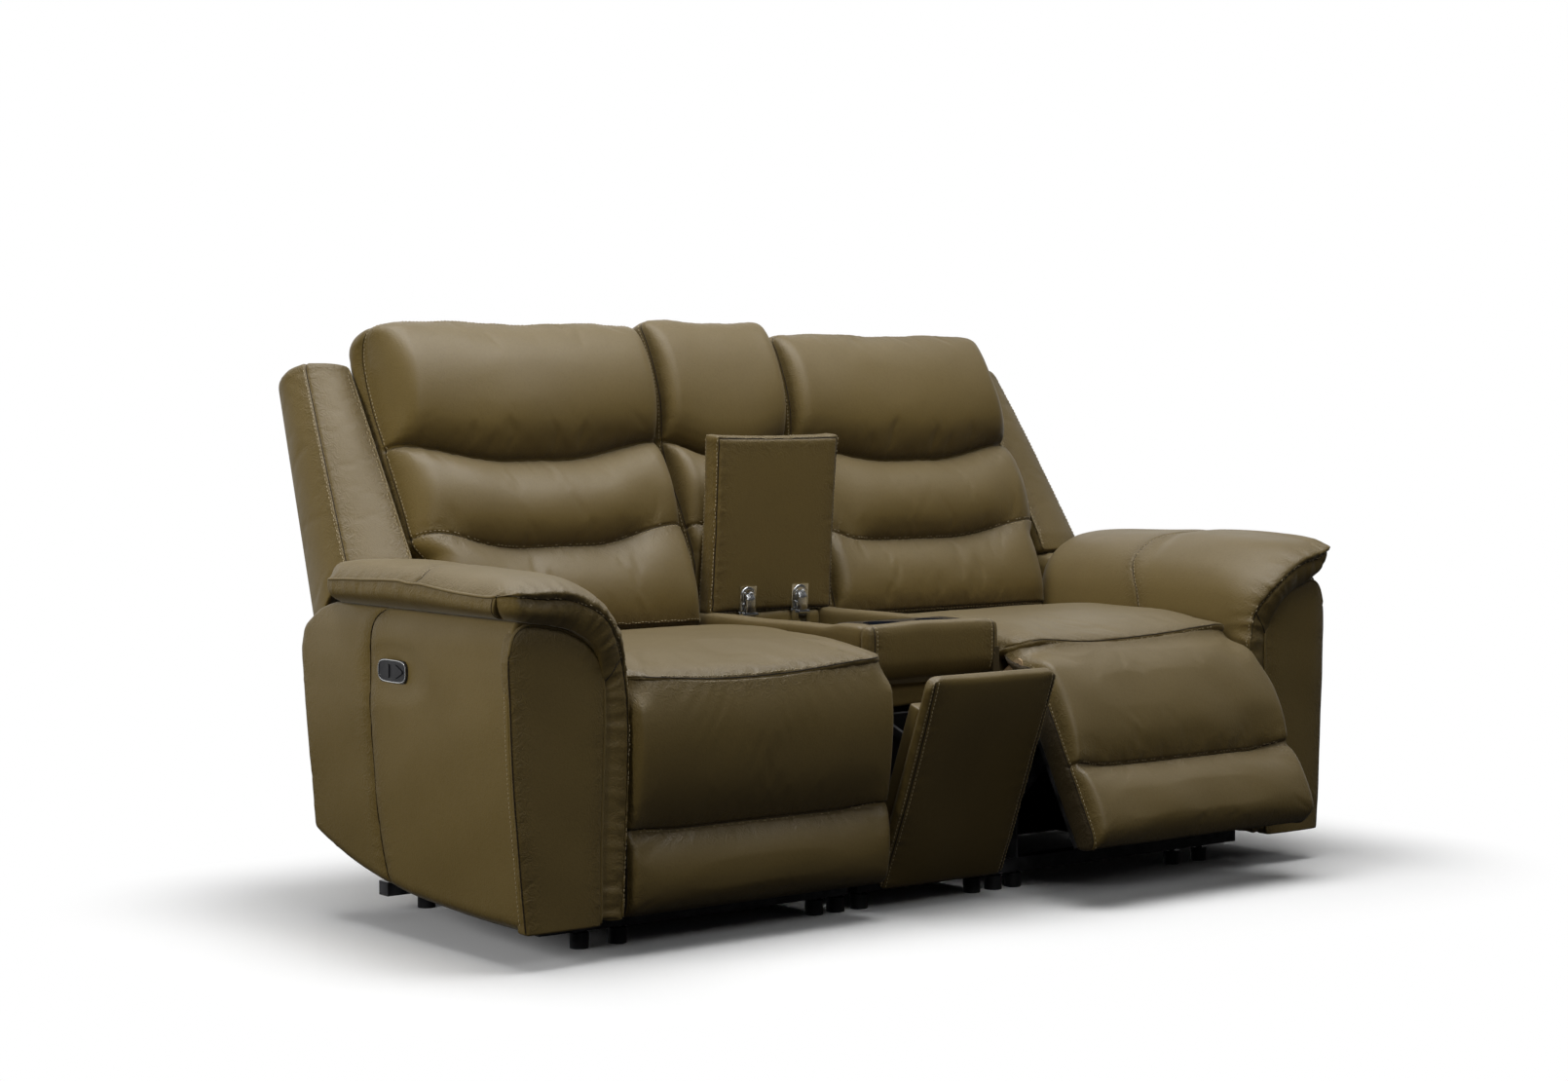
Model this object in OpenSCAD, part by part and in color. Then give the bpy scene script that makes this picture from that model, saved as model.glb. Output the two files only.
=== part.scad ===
// Two-seat power reclining sofa with a storage console between the seats.
// Millimetres, +Z up. The front faces -Y and +X is to the right as seen from the front.
// Inside the modules Y = 0 is the front plane of the arms; placed() moves the origin
// to the middle of the footprint.

/* [Overall] */
// Clear width of one seat, between arm and console
seat_w = 565; // [520:5:620]
// Width of the console between the seats
console_w = 310; // [300:5:360]
// Width of an arm, without the overhang of its pad
arm_w = 220; // [200:5:250]
// Depth of an arm, front to rear
arm_d = 670; // [640:5:720]
// Height of the arm body under its pad
arm_h = 556; // [536:4:576]
// Height of the top of the back cushions
back_h = 1048; // [1000:4:1080]
// Free height under the arms and the footrests
ground_gap = 68; // [60:2:80]

/* [Seats] */
// Height of the crown of a seat cushion
seat_h = 502; // [494:2:520]
// Height of the deck that the seat cushion lies on
deck_h = 355; // [345:1:365]
// Thickness of the deck rails
rail_t = 25; // [20:1:30]
// Height of the front and rear deck rails
rail_h = 30; // [24:1:32]

/* [Backs] */
// Lean of the backs from upright, in degrees
lean = 22.3; // [18:0.1:25]
// Y of the front seam of the back cushions at seat level
back_foot_y = 585; // [570:5:620]
// Thickness of a back cushion behind its front seam
back_cushion_t = 60; // [50:1:62]
// Thickness of the rear panels
rear_panel_t = 15; // [10:1:20]
// Width of a wing outside the back cushion
wing_w = 92; // [70:1:110]

/* [Footrests] */
// Height of the footrest hinge
hinge_z = 420; // [412:1:428]
// Thickness of the footrest pad in front of its board
footrest_pad_t = 65; // [50:1:68]
// Radius of the rolled top edge of the footrest pad
roll_r = 42; // [34:1:43]
// Length of the link arms of the footrest, pivot to pivot
link_len = 148; // [140:1:156]
// Radius of the pivots of the footrest linkage
pivot_r = 5; // [4:0.5:6]

/* [Console] */
// Height of the top face of the console
console_h = 500; // [480:5:520]
// Length of the lid, front to rear
lid_len = 328; // [300:4:340]
// Thickness of the lid with its padding
lid_t = 46; // [40:1:48]
// Radius of a cup well
cup_r = 39; // [35:1:42]
// Depth of a cup well
cup_depth = 66; // [50:1:75]
// Height of the front door when shut
door_h = 412; // [390:2:420]

/* [Poses] */
// Opening of the right footrest, in degrees from shut
right_open = 28; // [0:1:80]
// Opening of the left footrest, in degrees from shut
left_open = 0; // [0:1:80]
// Opening of the console lid, in degrees from shut
lid_open = 86; // [0:1:88]
// Opening of the console door, in degrees from shut
door_open = 21; // [0:1:22]

/* [Hardware] */
// Diameter of a floor glide
glide_d = 32; // [26:1:40]
// Height of a floor glide
glide_h = 26; // [20:1:30]
// Thickness of the steel plates and links
plate_t = 5; // [4:0.5:6]
// Clearance between pieces that seat on each other
seat_gap = 0.3; // [0.2:0.1:0.5]

/* [Hidden] */

leather = "#7a6a4c";
steel = "#1d1d1f";
wood = "#b08d5a";
plastic = "#26282b";
chrome = "#d8dadc";

// Layout across the width
module_gap = 10;                                  // between the console and a seat bay
console_x = console_w / 2;
bay_in = console_x + module_gap;                  // inner side of a seat bay
bay_out = bay_in + seat_w;                        // outer side of a seat bay
seat_x = (bay_in + bay_out) / 2;                  // middle of a seat
arm_out = bay_out + arm_w;                        // outer face of an arm
strip_w = 47;                                     // padding on the inner side of an arm
arm_core_in = bay_out + strip_w;

// Layout of one seat, around its middle
deck_half = seat_w / 2 - 12.5;                    // outer face of the deck
cushion_half = deck_half - 2;
pad_half = deck_half - 9;
board_t = 15;
hinge_y = 50;                                     // footrest hinge behind the front plane
deck_front = hinge_y + 50;
seat_rear = back_foot_y - 10;
deck_rear = seat_rear - 5;
slat_w = 40;
slat_count = 4;
fit = 0.1;                                        // running clearance of a pin

// Base frame
base_z = glide_h + 4;
base_h = 25;
base_w = 30;
base_front = deck_front + 16;
base_rear = deck_rear + 60;
base_top = base_z + base_h;
rail_x = seat_w / 2 - 72;                         // middle of a side rail from the middle of the seat
mid_rail_y = deck_rear - 130;
front_rail_in = console_x + 18;
front_rail_out = arm_core_in + 45;

// Backs: local frame with its origin on the front seam plane, Y towards the rear, Z along the back
back_foot_z = 494;
back_len = (back_h - back_foot_z + 2) / cos(lean);
pivot_back_y = back_foot_y + 15;
pivot_back_z = deck_h + 75;
pivot_back_r = 8;
back_board_n = back_cushion_t + seat_gap;         // front of the frame
frame_t = 24;
panel_n = back_board_n + frame_t;                 // front of the rear panel
back_bottom = -40;
shell_top = back_len - 86;
bracket_x = rail_x + 10;
bracket_w = 30;
wing_in = seat_w / 2 + 27;                        // inner face of a wing from the middle of the seat
stile_out = seat_w / 2 - 32;
valley_t = 190;                                   // lumbar valley
crease_t = 352;                                   // crease under the headrest

// Footrest: described shut, around its hinge
footrest_len = hinge_z - ground_gap + 2;
board_n = footrest_pad_t - hinge_y + seat_gap;
crease_drop = 220;
link_dy = 50;                                     // from the hinge to the link pivot of the footrest
link_dz = -sqrt(link_len * link_len - link_dy * link_dy);
crank_dy = 125;                                   // from the hinge to the fixed pivot of the drive link
crank_dz = -130;
crank_y = hinge_y + crank_dy;
crank_z = hinge_z + crank_dz;
link_w = 24;
ear_r = 14;

// Drive: the torque tube of the drive links rides in the yoke of the carriage
full_travel = 85;
tube_arm = 90;
tube_r = 9;
tube_dy = tube_arm * sin(full_travel / 2);
tube_dz = -tube_arm * cos(full_travel / 2);
travel_per_degree = 83.5 * PI / 180;
yoke_shift = 1.15;
yoke_play = 2;
screw_z = base_top + 113;
screw_r = 7;
rail_top = screw_z - 18;
actuator_rail_t = 12;
rail_y0 = deck_front - 12;
gearbox_len = 58;
gearbox_half = 28;
motor_len = 60;
motor_r = 22;
rail_y1 = mid_rail_y + gearbox_len + 2;
rail_half = 14;
nut_half = 20;
plate_x = rail_x;                                 // inner face of a mechanism plate
link_x = plate_x - seat_gap - plate_t;
coupler_x = link_x - seat_gap - plate_t;
lug_x = coupler_x - seat_gap - plate_t;

// Console
carcass_wall = 15;
top_t = 45;
console_front = 80;
console_rear = back_foot_y + 15;
opening_half = console_x - 40;
opening_y0 = 236;
opening_y1 = opening_y0 + lid_len - 12;
storage_floor = console_h - 250;
lid_pin_y = opening_y1 - 8;
lid_pin_z = console_h - 5;
lid_rear = lid_pin_y - 6;
lid_front = lid_rear - lid_len;
lid_gap = 3;
lid_board_t = 12;
lid_half = console_x - 12;
hinge_x = 63;
leaf_half = 20;
knuckle_half = 10;
knuckle_r = 7.5;
lid_pin_r = 3;
tray_y0 = console_front + 12;
tray_y1 = lid_front - 6;
tray_half = opening_half + 8;
cup_x = cup_r + 22;
cup_y = (tray_y0 + tray_y1) / 2;
cup_wall = 2;
fascia_drop = 95;
fascia_t = 12;
door_front = 57;
door_skin = 19;
door_t = 50;
door_pin_y = 98;
door_pin_z = 66;
door_pin_r = 5;
door_bottom = 54;
door_half = console_x - 8;
door_body_half = console_x - carcass_wall - 1;
door_body_top = console_h - fascia_drop - 8;
bin_depth = 82;
bin_h = 270;
bin_half = console_x - 30;
bin_wall = 3;
bin_z0 = door_bottom + 10;

// Switch on the outer side of an arm
switch_y = 357;
switch_z = arm_h - 102;
switch_w = 90;
switch_hh = 38;
switch_t = 5;
button_y = 20;
button_travel = 1.5;

// Front of the footrest pad: height below the hinge and reach ahead of it
pad_front = [[roll_r - 1, 7], [roll_r * 0.72, 29], [0, roll_r], [-55, 44], [-100, 51], [-160, 51],
    [-200, 46], [-crease_drop, 38], [-240, 46], [-280, 50], [14 - footrest_len, 50],
    [4 - footrest_len, 44], [-footrest_len, 34]];

// Wing: height along the back, width, front and rear
wing_rings = [[98, 96, 6, 98], [112, 126, -8, 110], [190, wing_w + 24, 2, 113], [295, wing_w + 14, 18, 116],
    [420, wing_w + 4, 40, 119], [505, wing_w - 2, 52, 122], [528, wing_w - 8, 60, 119], [536, wing_w - 30, 72, 108]];

// Reach of the whole sofa, for the origin
open_most = max(right_open, left_open);
front_reach = hinge_y - max([for (p = pad_front) p[1] * cos(open_most) - p[0] * sin(open_most)]);
rear_reach = back_foot_y + max([for (r = wing_rings) r[3] * cos(lean) + r[0] * sin(lean)]);
mid_y = (rear_reach + front_reach) / 2;

function arc(c, r, a0, a1, n = 6) =
    [for (i = [0:n]) let (a = a0 + (a1 - a0) * i / n) [c[0] + r * cos(a), c[1] + r * sin(a)]];

function power(v, e) = sign(v) * pow(abs(v), e);

// Closed ring at height t: width w about cx, from lo to hi with its widest place at mid
function ring(w, lo, hi, t, mid, cx = 0, e_lo = 0.45, e_hi = 0.2, n = 20) =
    [for (i = [0:n - 1]) let (a = 360 * i / n, s = sin(a), q = s < 0 ? e_lo : e_hi)
        [cx + w / 2 * power(cos(a), q), mid + (s < 0 ? mid - lo : hi - mid) * power(s, q), t]];

function centre(r) = [for (k = [0:2]) [for (p = r) p[k]] * [for (p = r) 1] / len(r)];

// Solid through rings that run counter-clockwise as seen from the last ring
module loft(rings) {
    n = len(rings[0]);
    m = len(rings);
    points = concat([for (r = rings) each r], [centre(rings[0]), centre(rings[m - 1])]);
    faces = concat(
        [for (i = [0:n - 1]) [i, (i + 1) % n, n * m]],
        [for (j = [0:m - 2], i = [0:n - 1]) each [
            [j * n + i, (j + 1) * n + i, (j + 1) * n + (i + 1) % n],
            [j * n + i, (j + 1) * n + (i + 1) % n, j * n + (i + 1) % n]]],
        [for (i = [0:n - 1]) [(m - 1) * n + (i + 1) % n, (m - 1) * n + i, n * m + 1]]);
    polyhedron(points = points, faces = faces, convexity = 6);
}

module placed() { translate([0, -mid_y, 0]) children(); }

module sided(s) { mirror([s < 0 ? 1 : 0, 0, 0]) children(); }

module at_seat(s) { placed() sided(s) translate([seat_x, 0, 0]) children(); }

module both() {
    children();
    mirror([1, 0, 0]) children();
}

// Plate with its outline in Y-Z, from x0 to x0 + t
module yz_plate(x0, t) { translate([x0, 0, 0]) rotate([90, 0, 90]) linear_extrude(t) children(); }

// Plate with its outline in X-Z, from y0 to y0 + t
module xz_plate(y0, t) { translate([0, y0 + t, 0]) rotate([90, 0, 0]) linear_extrude(t) children(); }

module rod_x(x0, x1, r, y, z) { translate([x0, y, z]) rotate([0, 90, 0]) cylinder(h = x1 - x0, r = r, $fn = 40); }

module rod_y(y0, y1, r, x, z) { translate([x, y0, z]) rotate([-90, 0, 0]) cylinder(h = y1 - y0, r = r, $fn = 40); }

module post(x, y, z0, z1, r) { translate([x, y, z0]) cylinder(h = z1 - z0, r = r, $fn = 48); }

module block(x0, x1, y0, y1, z0, z1) { translate([x0, y0, z0]) cube([x1 - x0, y1 - y0, z1 - z0]); }

// Turns children about an axis along X through (y, z); the lower side swings to the front
module swung(angle, y, z) { translate([0, y, z]) rotate([-angle, 0, 0]) translate([0, -y, -z]) children(); }

module in_back() { translate([0, back_foot_y, back_foot_z]) rotate([-lean, 0, 0]) children(); }

// Point at depth n and height t in the frame of the backs, as [y, z]
function from_back(n, t) =
    [back_foot_y + n * cos(lean) + t * sin(lean), back_foot_z - n * sin(lean) + t * cos(lean)];

// Flat bar in Y-Z with round ends
module bar(a, b, w) {
    translate(a) rotate(atan2(b[1] - a[1], b[0] - a[0])) {
        length = norm(b - a);
        translate([0, -w / 2]) square([length, w]);
        circle(r = w / 2, $fn = 40);
        translate([length, 0]) circle(r = w / 2, $fn = 40);
    }
}

function opening(s) = s < 0 ? left_open : right_open;

module footrest_place(s) { at_seat(s) swung(opening(s), hinge_y, hinge_z) children(); }

// Floor and base frames

module base_frame(s) {
    color(steel) placed() sided(s) {
        for (x = [seat_x - rail_x, seat_x + rail_x])
            block(x - base_w / 2, x + base_w / 2, base_front, base_rear, base_z, base_top);
        for (y = [base_front, base_rear - base_w])
            block(front_rail_in, front_rail_out, y, y + base_w, base_z, base_top);
        block(seat_x - rail_x, seat_x + rail_x, mid_rail_y, mid_rail_y + base_w, base_z, base_top);
        block(arm_core_in + 5, front_rail_out, base_front, base_front + base_w, base_top, ground_gap);
        block(arm_core_in - 10, arm_core_in, base_rear - base_w, base_rear, base_z, base_top + 160);
        for (y = [base_front + base_w / 2, mid_rail_y + base_w / 2])
            block(seat_x - 12, seat_x + 12, y - 12, y + 12, base_top, rail_top - actuator_rail_t);
    }
}

module console_base_frame() {
    color(steel) placed() {
        both() block(console_x - base_w - 5, console_x - 5, base_front, base_rear, base_z, base_top);
        for (y = [base_front, base_rear - base_w])
            block(-console_x + 5, console_x - 5, y, y + base_w, base_z, base_top);
    }
}

module glide(x, y) {
    post(x, y, 0, glide_h, glide_d / 2);
    post(x, y, glide_h, base_z, 6);
}

module floor_glides() {
    color(steel) placed() both() {
        for (y = [base_front + base_w / 2, base_rear - base_w / 2])
            for (x = [console_x - 5 - base_w / 2, front_rail_in + base_w / 2, seat_x - rail_x,
                seat_x + rail_x, arm_core_in - 43])
                glide(x, y);
    }
}

// Arms

front_panel_t = 25;
arm_rise = 47;                                    // rise of the underside towards the rear

module arm_side_outline() {
    polygon(concat(
        [[front_panel_t, arm_h], [front_panel_t, ground_gap], [arm_d * 0.45, ground_gap],
            [arm_d * 0.79, ground_gap + arm_rise]],
        arc([arm_d - 45, ground_gap + arm_rise + 80], 45, -70, 0),
        [[arm_d + 6, arm_h - 66]],
        arc([arm_d - 18, arm_h - 66], 24, 0, 60),
        [[arm_d - 70, arm_h]]));
}

module arm_front_outline(top) {
    polygon([[arm_core_in, ground_gap], [arm_out - 28, ground_gap], [arm_out - 8, arm_h / 2],
        [arm_out - 2, arm_h * 0.71], [arm_out - 2, arm_h - 46], [arm_out, arm_h - 18],
        [arm_out - 36, top], [arm_core_in, top]]);
}

module arm_body(s) {
    color(leather) placed() sided(s) intersection() {
        yz_plate(arm_core_in, arm_w) arm_side_outline();
        xz_plate(0, arm_d * 1.1) arm_front_outline(arm_h);
    }
}

module arm_front(s) {
    color(leather) placed() sided(s) xz_plate(0, front_panel_t) difference() {
        arm_front_outline(arm_h - 4);
        translate([arm_core_in - 1, arm_h - 76]) difference() {
            square([76, 76]);
            translate([76, 0]) circle(r = 74, $fn = 64);
        }
    }
}

// Rounded top of an arm: ring in X-Z at depth y, lowered by drop and drawn in by the factor k
function arm_ring(y, drop, k = 1) = let (
    outline = [[7, 0], [70, 0], [135, 0], [arm_w - 10, 0], [arm_w + 14, 18], [arm_w + 29, 44],
        [arm_w + 2, 58], [arm_w * 0.84, 72], [arm_w * 0.68, 84], [arm_w * 0.5, 88], [arm_w * 0.36, 84],
        [arm_w * 0.23, 72], [arm_w * 0.11, 54], [9, 30]],
    mid = [arm_w * 0.55, 34])
    [for (p = outline) [mid[0] + (p[0] - mid[0]) * k,
        arm_h + seat_gap + max(0, mid[1] + (p[1] - mid[1]) * k - drop * p[1] / 88), -y]];

module arm_pad(s) {
    color(leather) placed() sided(s) translate([bay_out, 0, 0]) {
        rotate([90, 0, 0]) loft([arm_ring(600, 34, 0.55), arm_ring(588, 26, 0.78), arm_ring(560, 20, 0.92),
            arm_ring(480, 8, 0.98), arm_ring(320, 2), arm_ring(256, 1), arm_ring(248, 6, 0.99), arm_ring(240, 1),
            arm_ring(120, 0), arm_ring(6, 1), arm_ring(-22, 6, 0.94), arm_ring(-36, 16, 0.8), arm_ring(-42, 26, 0.6)]);
        translate([0, 0, ground_gap]) linear_extrude(arm_h - ground_gap + 6) {
            translate([1, 20]) square([strip_w - 1, arm_d - 100]);
            translate([20, 2]) square([strip_w - 20, 20]);
            translate([21, 22]) circle(r = 20, $fn = 48);
        }
    }
}

module button_outline(to_front) {
    d = to_front ? -1 : 1;
    hull() {
        translate([11 * d, 0]) circle(r = 3, $fn = 24);
        for (z = [-8, 8]) translate([-8 * d, z]) circle(r = 3.5, $fn = 24);
    }
}

module on_arm_side(s) { placed() sided(s) translate([0, switch_y, switch_z]) children(); }

module switch_plate(s) {
    color(plastic) on_arm_side(s) difference() {
        yz_plate(arm_out - 2, switch_t) hull()
            for (y = [-1, 1], z = [-1, 1])
                translate([y * (switch_w / 2 - 14), z * (switch_hh / 2 - 14)]) circle(r = 14, $fn = 32);
        for (d = [-1, 1])
            yz_plate(arm_out - 3, switch_t + 2) translate([button_y * d, 0]) offset(delta = seat_gap)
                button_outline(d < 0);
    }
}

module push_button(s, to_front) {
    color(chrome) on_arm_side(s) yz_plate(arm_out - 2 + button_travel + seat_gap, switch_t)
        translate([to_front ? -button_y : button_y, 0]) button_outline(to_front);
}

// Seats

module seat_deck(s) {
    slat_pitch = (deck_rear - deck_front - 2 * rail_t - slat_w) / (slat_count + 1);
    color(wood) at_seat(s) difference() {
        union() {
            both() block(deck_half - rail_t, deck_half, deck_front, deck_rear, deck_h - rail_h, deck_h);
            for (y = [deck_front, deck_rear - rail_t])
                block(-deck_half, deck_half, y, y + rail_t, deck_h - rail_h, deck_h);
            for (i = [1:slat_count])
                block(-deck_half, deck_half, deck_front + rail_t + i * slat_pitch,
                    deck_front + rail_t + i * slat_pitch + slat_w, deck_h - rail_h, deck_h - 3);
            both() yz_plate(deck_half, plate_t)
                bar([hinge_y, hinge_z], [deck_front + 60, deck_h - rail_h / 2], 2 * ear_r);
            both() yz_plate(bracket_x, plate_t) {
                translate([deck_rear, deck_h - rail_h]) square([pivot_back_y - deck_rear, rail_h - 5]);
                translate([pivot_back_y - bracket_w / 2, deck_h - rail_h])
                    square([bracket_w, pivot_back_z - deck_h + rail_h]);
                translate([pivot_back_y, pivot_back_z]) circle(r = bracket_w / 2, $fn = 40);
            }
            both() rod_x(bracket_x, bracket_x + 2 * plate_t + seat_gap, pivot_back_r, pivot_back_y, pivot_back_z);
        }
        both() rod_x(deck_half - 1, deck_half + plate_t + 1, pivot_r + fit, hinge_y, hinge_z);
    }
}

module seat_webbing() {
    strap_w = 52;
    straps = 5;
    color(plastic) placed() both() for (i = [0:straps - 1])
        translate([seat_x + (i - (straps - 1) / 2) * (2 * deck_half - 2 * rail_t) / straps, 0, 0])
            block(-strap_w / 2, strap_w / 2, deck_front + rail_t, deck_rear - rail_t, deck_h - 3, deck_h - 1);
}

// Section of a seat cushion in X-Z at depth y
function seat_ring(y, w, bottom, top, mid) = ring(w, bottom, top, -y, mid, 0, 0.16, 0.42);

module seat_cushion(s) {
    w = 2 * cushion_half;
    low = deck_h + seat_gap;
    nose = hinge_z + roll_r + seat_gap;
    color(leather) at_seat(s) rotate([90, 0, 0]) loft([
        seat_ring(seat_rear, w - 40, low + 20, seat_h - 60, low + 45),
        seat_ring(seat_rear - 12, w - 10, low, seat_h - 26, low + 60),
        seat_ring(seat_rear - 80, w, low, seat_h - 8, low + 75),
        seat_ring(330, w - 4, low, seat_h, low + 80),
        seat_ring(200, w - 2, low, seat_h - 1, low + 78),
        seat_ring(deck_front + 14, w, low, seat_h - 5, low + 74),
        seat_ring(deck_front + 3, w, low, seat_h - 6, low + 74),
        seat_ring(deck_front - 1, w, nose, seat_h - 6, nose + 8),
        seat_ring(50, w, nose, seat_h - 10, nose + 7),
        seat_ring(20, w - 6, nose, seat_h - 18, nose + 6),
        seat_ring(4, w - 16, nose, seat_h - 29, nose + 5),
        seat_ring(0, w - 30, nose + 1, seat_h - 34, nose + 3)]);
}

// Console

module console_carcass() {
    z1 = console_h - top_t;
    color(wood) placed() difference() {
        block(-console_x, console_x, console_front, console_rear, base_top, z1);
        inner = console_x - carcass_wall;
        block(-inner, inner, console_front - 1, opening_y0 - 40, base_top - 1, console_h - fascia_drop - 5);
        block(-inner, inner, console_front - 1, console_front + fascia_t, base_top, z1 + 1);
        block(-inner, inner, opening_y0 - 25, console_rear - carcass_wall, base_top - 1, storage_floor - 15);
        block(-opening_half, opening_half, opening_y0, opening_y1, storage_floor, z1 + 1);
        block(-inner, inner, tray_y0 - 1, tray_y1 + 5, console_h - cup_depth - 8, z1 + 1);
        both() rod_x(inner - 1, console_x + 1, door_pin_r + fit, door_pin_y, door_pin_z);
    }
}

module console_top() {
    edge = 14;
    color(leather) placed() {
        difference() {
            union() {
                yz_plate(-console_x, console_w) polygon(concat(
                    [[console_rear - carcass_wall, console_h - top_t], [console_rear - carcass_wall, console_h]],
                    arc([console_front + edge, console_h - edge], edge, 90, 180),
                    [[console_front, console_h - top_t]]));
                inner = console_x - carcass_wall;
                block(-inner, inner, console_front, console_front + fascia_t - seat_gap,
                    console_h - fascia_drop, console_h - top_t + 1);
            }
            block(-opening_half, opening_half, opening_y0, opening_y1, 0, console_h + 1);
            for (x = [-cup_x, cup_x])
                post(x, cup_y, console_h - top_t - 1, console_h + 1, cup_r + cup_wall + seat_gap);
        }
    }
}

module cup_holder() {
    plate = 4;
    color(plastic) placed() difference() {
        union() {
            block(-tray_half, tray_half, tray_y0, tray_y1, console_h, console_h + plate);
            for (x = [-cup_x, cup_x])
                post(x, cup_y, console_h - cup_depth, console_h + 1, cup_r + cup_wall);
        }
        for (x = [-cup_x, cup_x])
            post(x, cup_y, console_h - cup_depth + cup_wall, console_h + plate + 1, cup_r);
    }
}

module lid_hinge_bases() {
    color(chrome) placed() both() {
        block(hinge_x - leaf_half, hinge_x + leaf_half, opening_y1 - 2.6, opening_y1, console_h - 62, lid_pin_z - 14);
        for (x = [hinge_x - knuckle_half - 8, hinge_x + knuckle_half + seat_gap])
            yz_plate(x, 8 - seat_gap) {
                translate([lid_pin_y, lid_pin_z]) circle(r = 5, $fn = 40);
                translate([lid_pin_y - 5, lid_pin_z - 30]) square([opening_y1 - lid_pin_y + 4, 30]);
            }
        rod_x(hinge_x - knuckle_half - 8, hinge_x + knuckle_half + 8, lid_pin_r, lid_pin_y, lid_pin_z);
    }
}

module lid_place() { placed() swung(lid_open, lid_pin_y, lid_pin_z) children(); }

module lid_hinge_leaves() {
    z = console_h + lid_gap;
    color(chrome) lid_place() both() difference() {
        union() {
            block(hinge_x - leaf_half, hinge_x + leaf_half, lid_pin_y - 54, lid_pin_y - 2, z - 2.5, z);
            block(hinge_x - knuckle_half, hinge_x + knuckle_half, lid_pin_y - 8, lid_pin_y, lid_pin_z, z);
            rod_x(hinge_x - knuckle_half, hinge_x + knuckle_half, knuckle_r, lid_pin_y, lid_pin_z);
        }
        rod_x(hinge_x - knuckle_half - 1, hinge_x + knuckle_half + 1, lid_pin_r + fit, lid_pin_y, lid_pin_z);
    }
}

module lid_board() {
    z = console_h + lid_gap;
    color(wood) lid_place() {
        block(-lid_half, lid_half, lid_front, lid_rear, z, z + lid_board_t);
        both() post(lid_half - 12, lid_front + 14, console_h + seat_gap, z, 6);
    }
}

module lid_pad() {
    z = console_h + lid_gap + lid_board_t;
    c = (lid_front + lid_rear) / 2;
    h = lid_len / 2;
    w = 2 * lid_half + 4;
    color(leather) lid_place() loft([for (r = [[0, w, 1, 2], [8, w + 3, -2, 4], [lid_t * 0.4, w + 1, -1, 14],
            [lid_t * 0.6, w - 14, 8, 30], [lid_t - lid_board_t, w - 70, 40, 66]])
        ring(r[1], c - h + r[2], c + h - r[3], z + r[0], c, 0, 0.22, 0.22, 24)]);
}

module door_place() { placed() swung(-door_open, door_pin_y, door_pin_z) children(); }

module door_panel() {
    round_r = door_skin / 2 - 0.5;
    color(leather) door_place() {
        yz_plate(-door_half, 2 * door_half) polygon(concat(
            [[door_front, door_bottom], [door_front + door_skin, door_bottom]],
            arc([door_front + door_skin - round_r, door_bottom + door_h - round_r], round_r, 0, 90),
            arc([door_front + round_r, door_bottom + door_h - round_r], round_r, 90, 180)));
        block(-door_body_half, door_body_half, door_front + door_skin, door_front + door_t,
            door_bottom, door_body_top);
        both() rod_x(door_body_half, console_x - 2, door_pin_r, door_pin_y, door_pin_z);
    }
}

module door_bin() {
    y0 = door_front + door_t;
    color(plastic) door_place() difference() {
        union() {
            block(-bin_half, bin_half, y0, y0 + bin_depth, bin_z0, bin_z0 + bin_h);
            block(-bin_half - 4, bin_half + 4, y0, y0 + bin_depth + 3, bin_z0 + bin_h - 14, bin_z0 + bin_h);
        }
        block(bin_wall - bin_half, bin_half - bin_wall, y0 + bin_wall, y0 + bin_depth - bin_wall,
            bin_z0 + bin_wall, bin_z0 + bin_h + 1);
    }
}

// Backs

module back_slats(half) {
    pitch = (shell_top - back_bottom - slat_w) / 5;
    for (i = [0:5])
        block(-half, half, back_board_n, back_board_n + frame_t, back_bottom + i * pitch,
            back_bottom + i * pitch + slat_w);
}

module back_frame(s) {
    foot = from_back(back_board_n + frame_t / 2, back_bottom + slat_w / 2);
    color(wood) at_seat(s) difference() {
        union() {
            in_back() {
                both() block(stile_out - 36, stile_out, back_board_n, back_board_n + frame_t, back_bottom, shell_top);
                back_slats(stile_out);
                for (t = [shell_top * 0.4, shell_top * 0.8])
                    block(stile_out - 1, wing_in, back_board_n + 2, back_board_n + frame_t - 2, t, t + slat_w);
            }
            both() yz_plate(bracket_x + plate_t + seat_gap, plate_t)
                bar([pivot_back_y, pivot_back_z], foot, frame_t);
        }
        both() rod_x(bracket_x, bracket_x + 3 * plate_t, pivot_back_r + fit, pivot_back_y, pivot_back_z);
    }
}

// Rear panel of a back from x0 to x1, with round upper corners
module back_panel_shape(x0, x1) {
    edge = 30;
    top = shell_top + 40 - edge;
    in_back() translate([0, panel_n + rear_panel_t, 0]) rotate([90, 0, 0]) linear_extrude(rear_panel_t) {
        translate([x0, back_bottom]) square([x1 - x0, top - back_bottom]);
        translate([x0 + edge, top - 1]) square([x1 - x0 - 2 * edge, edge + 1]);
        for (x = [x0 + edge, x1 - edge]) translate([x, top]) circle(r = edge, $fn = 48);
    }
}

// Plane of the open lid's rear face, as a depth in the frame of the backs at t along them
function lid_clear(t) = let (h = lid_gap + lid_t + 5, gap = 6)
    (lid_pin_y - back_foot_y + gap + h / sin(lid_open) - t * sin(lean)
        - (back_foot_z + t * cos(lean) - lid_pin_z) / tan(lid_open)) / (cos(lean) - sin(lean) / tan(lid_open));

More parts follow.
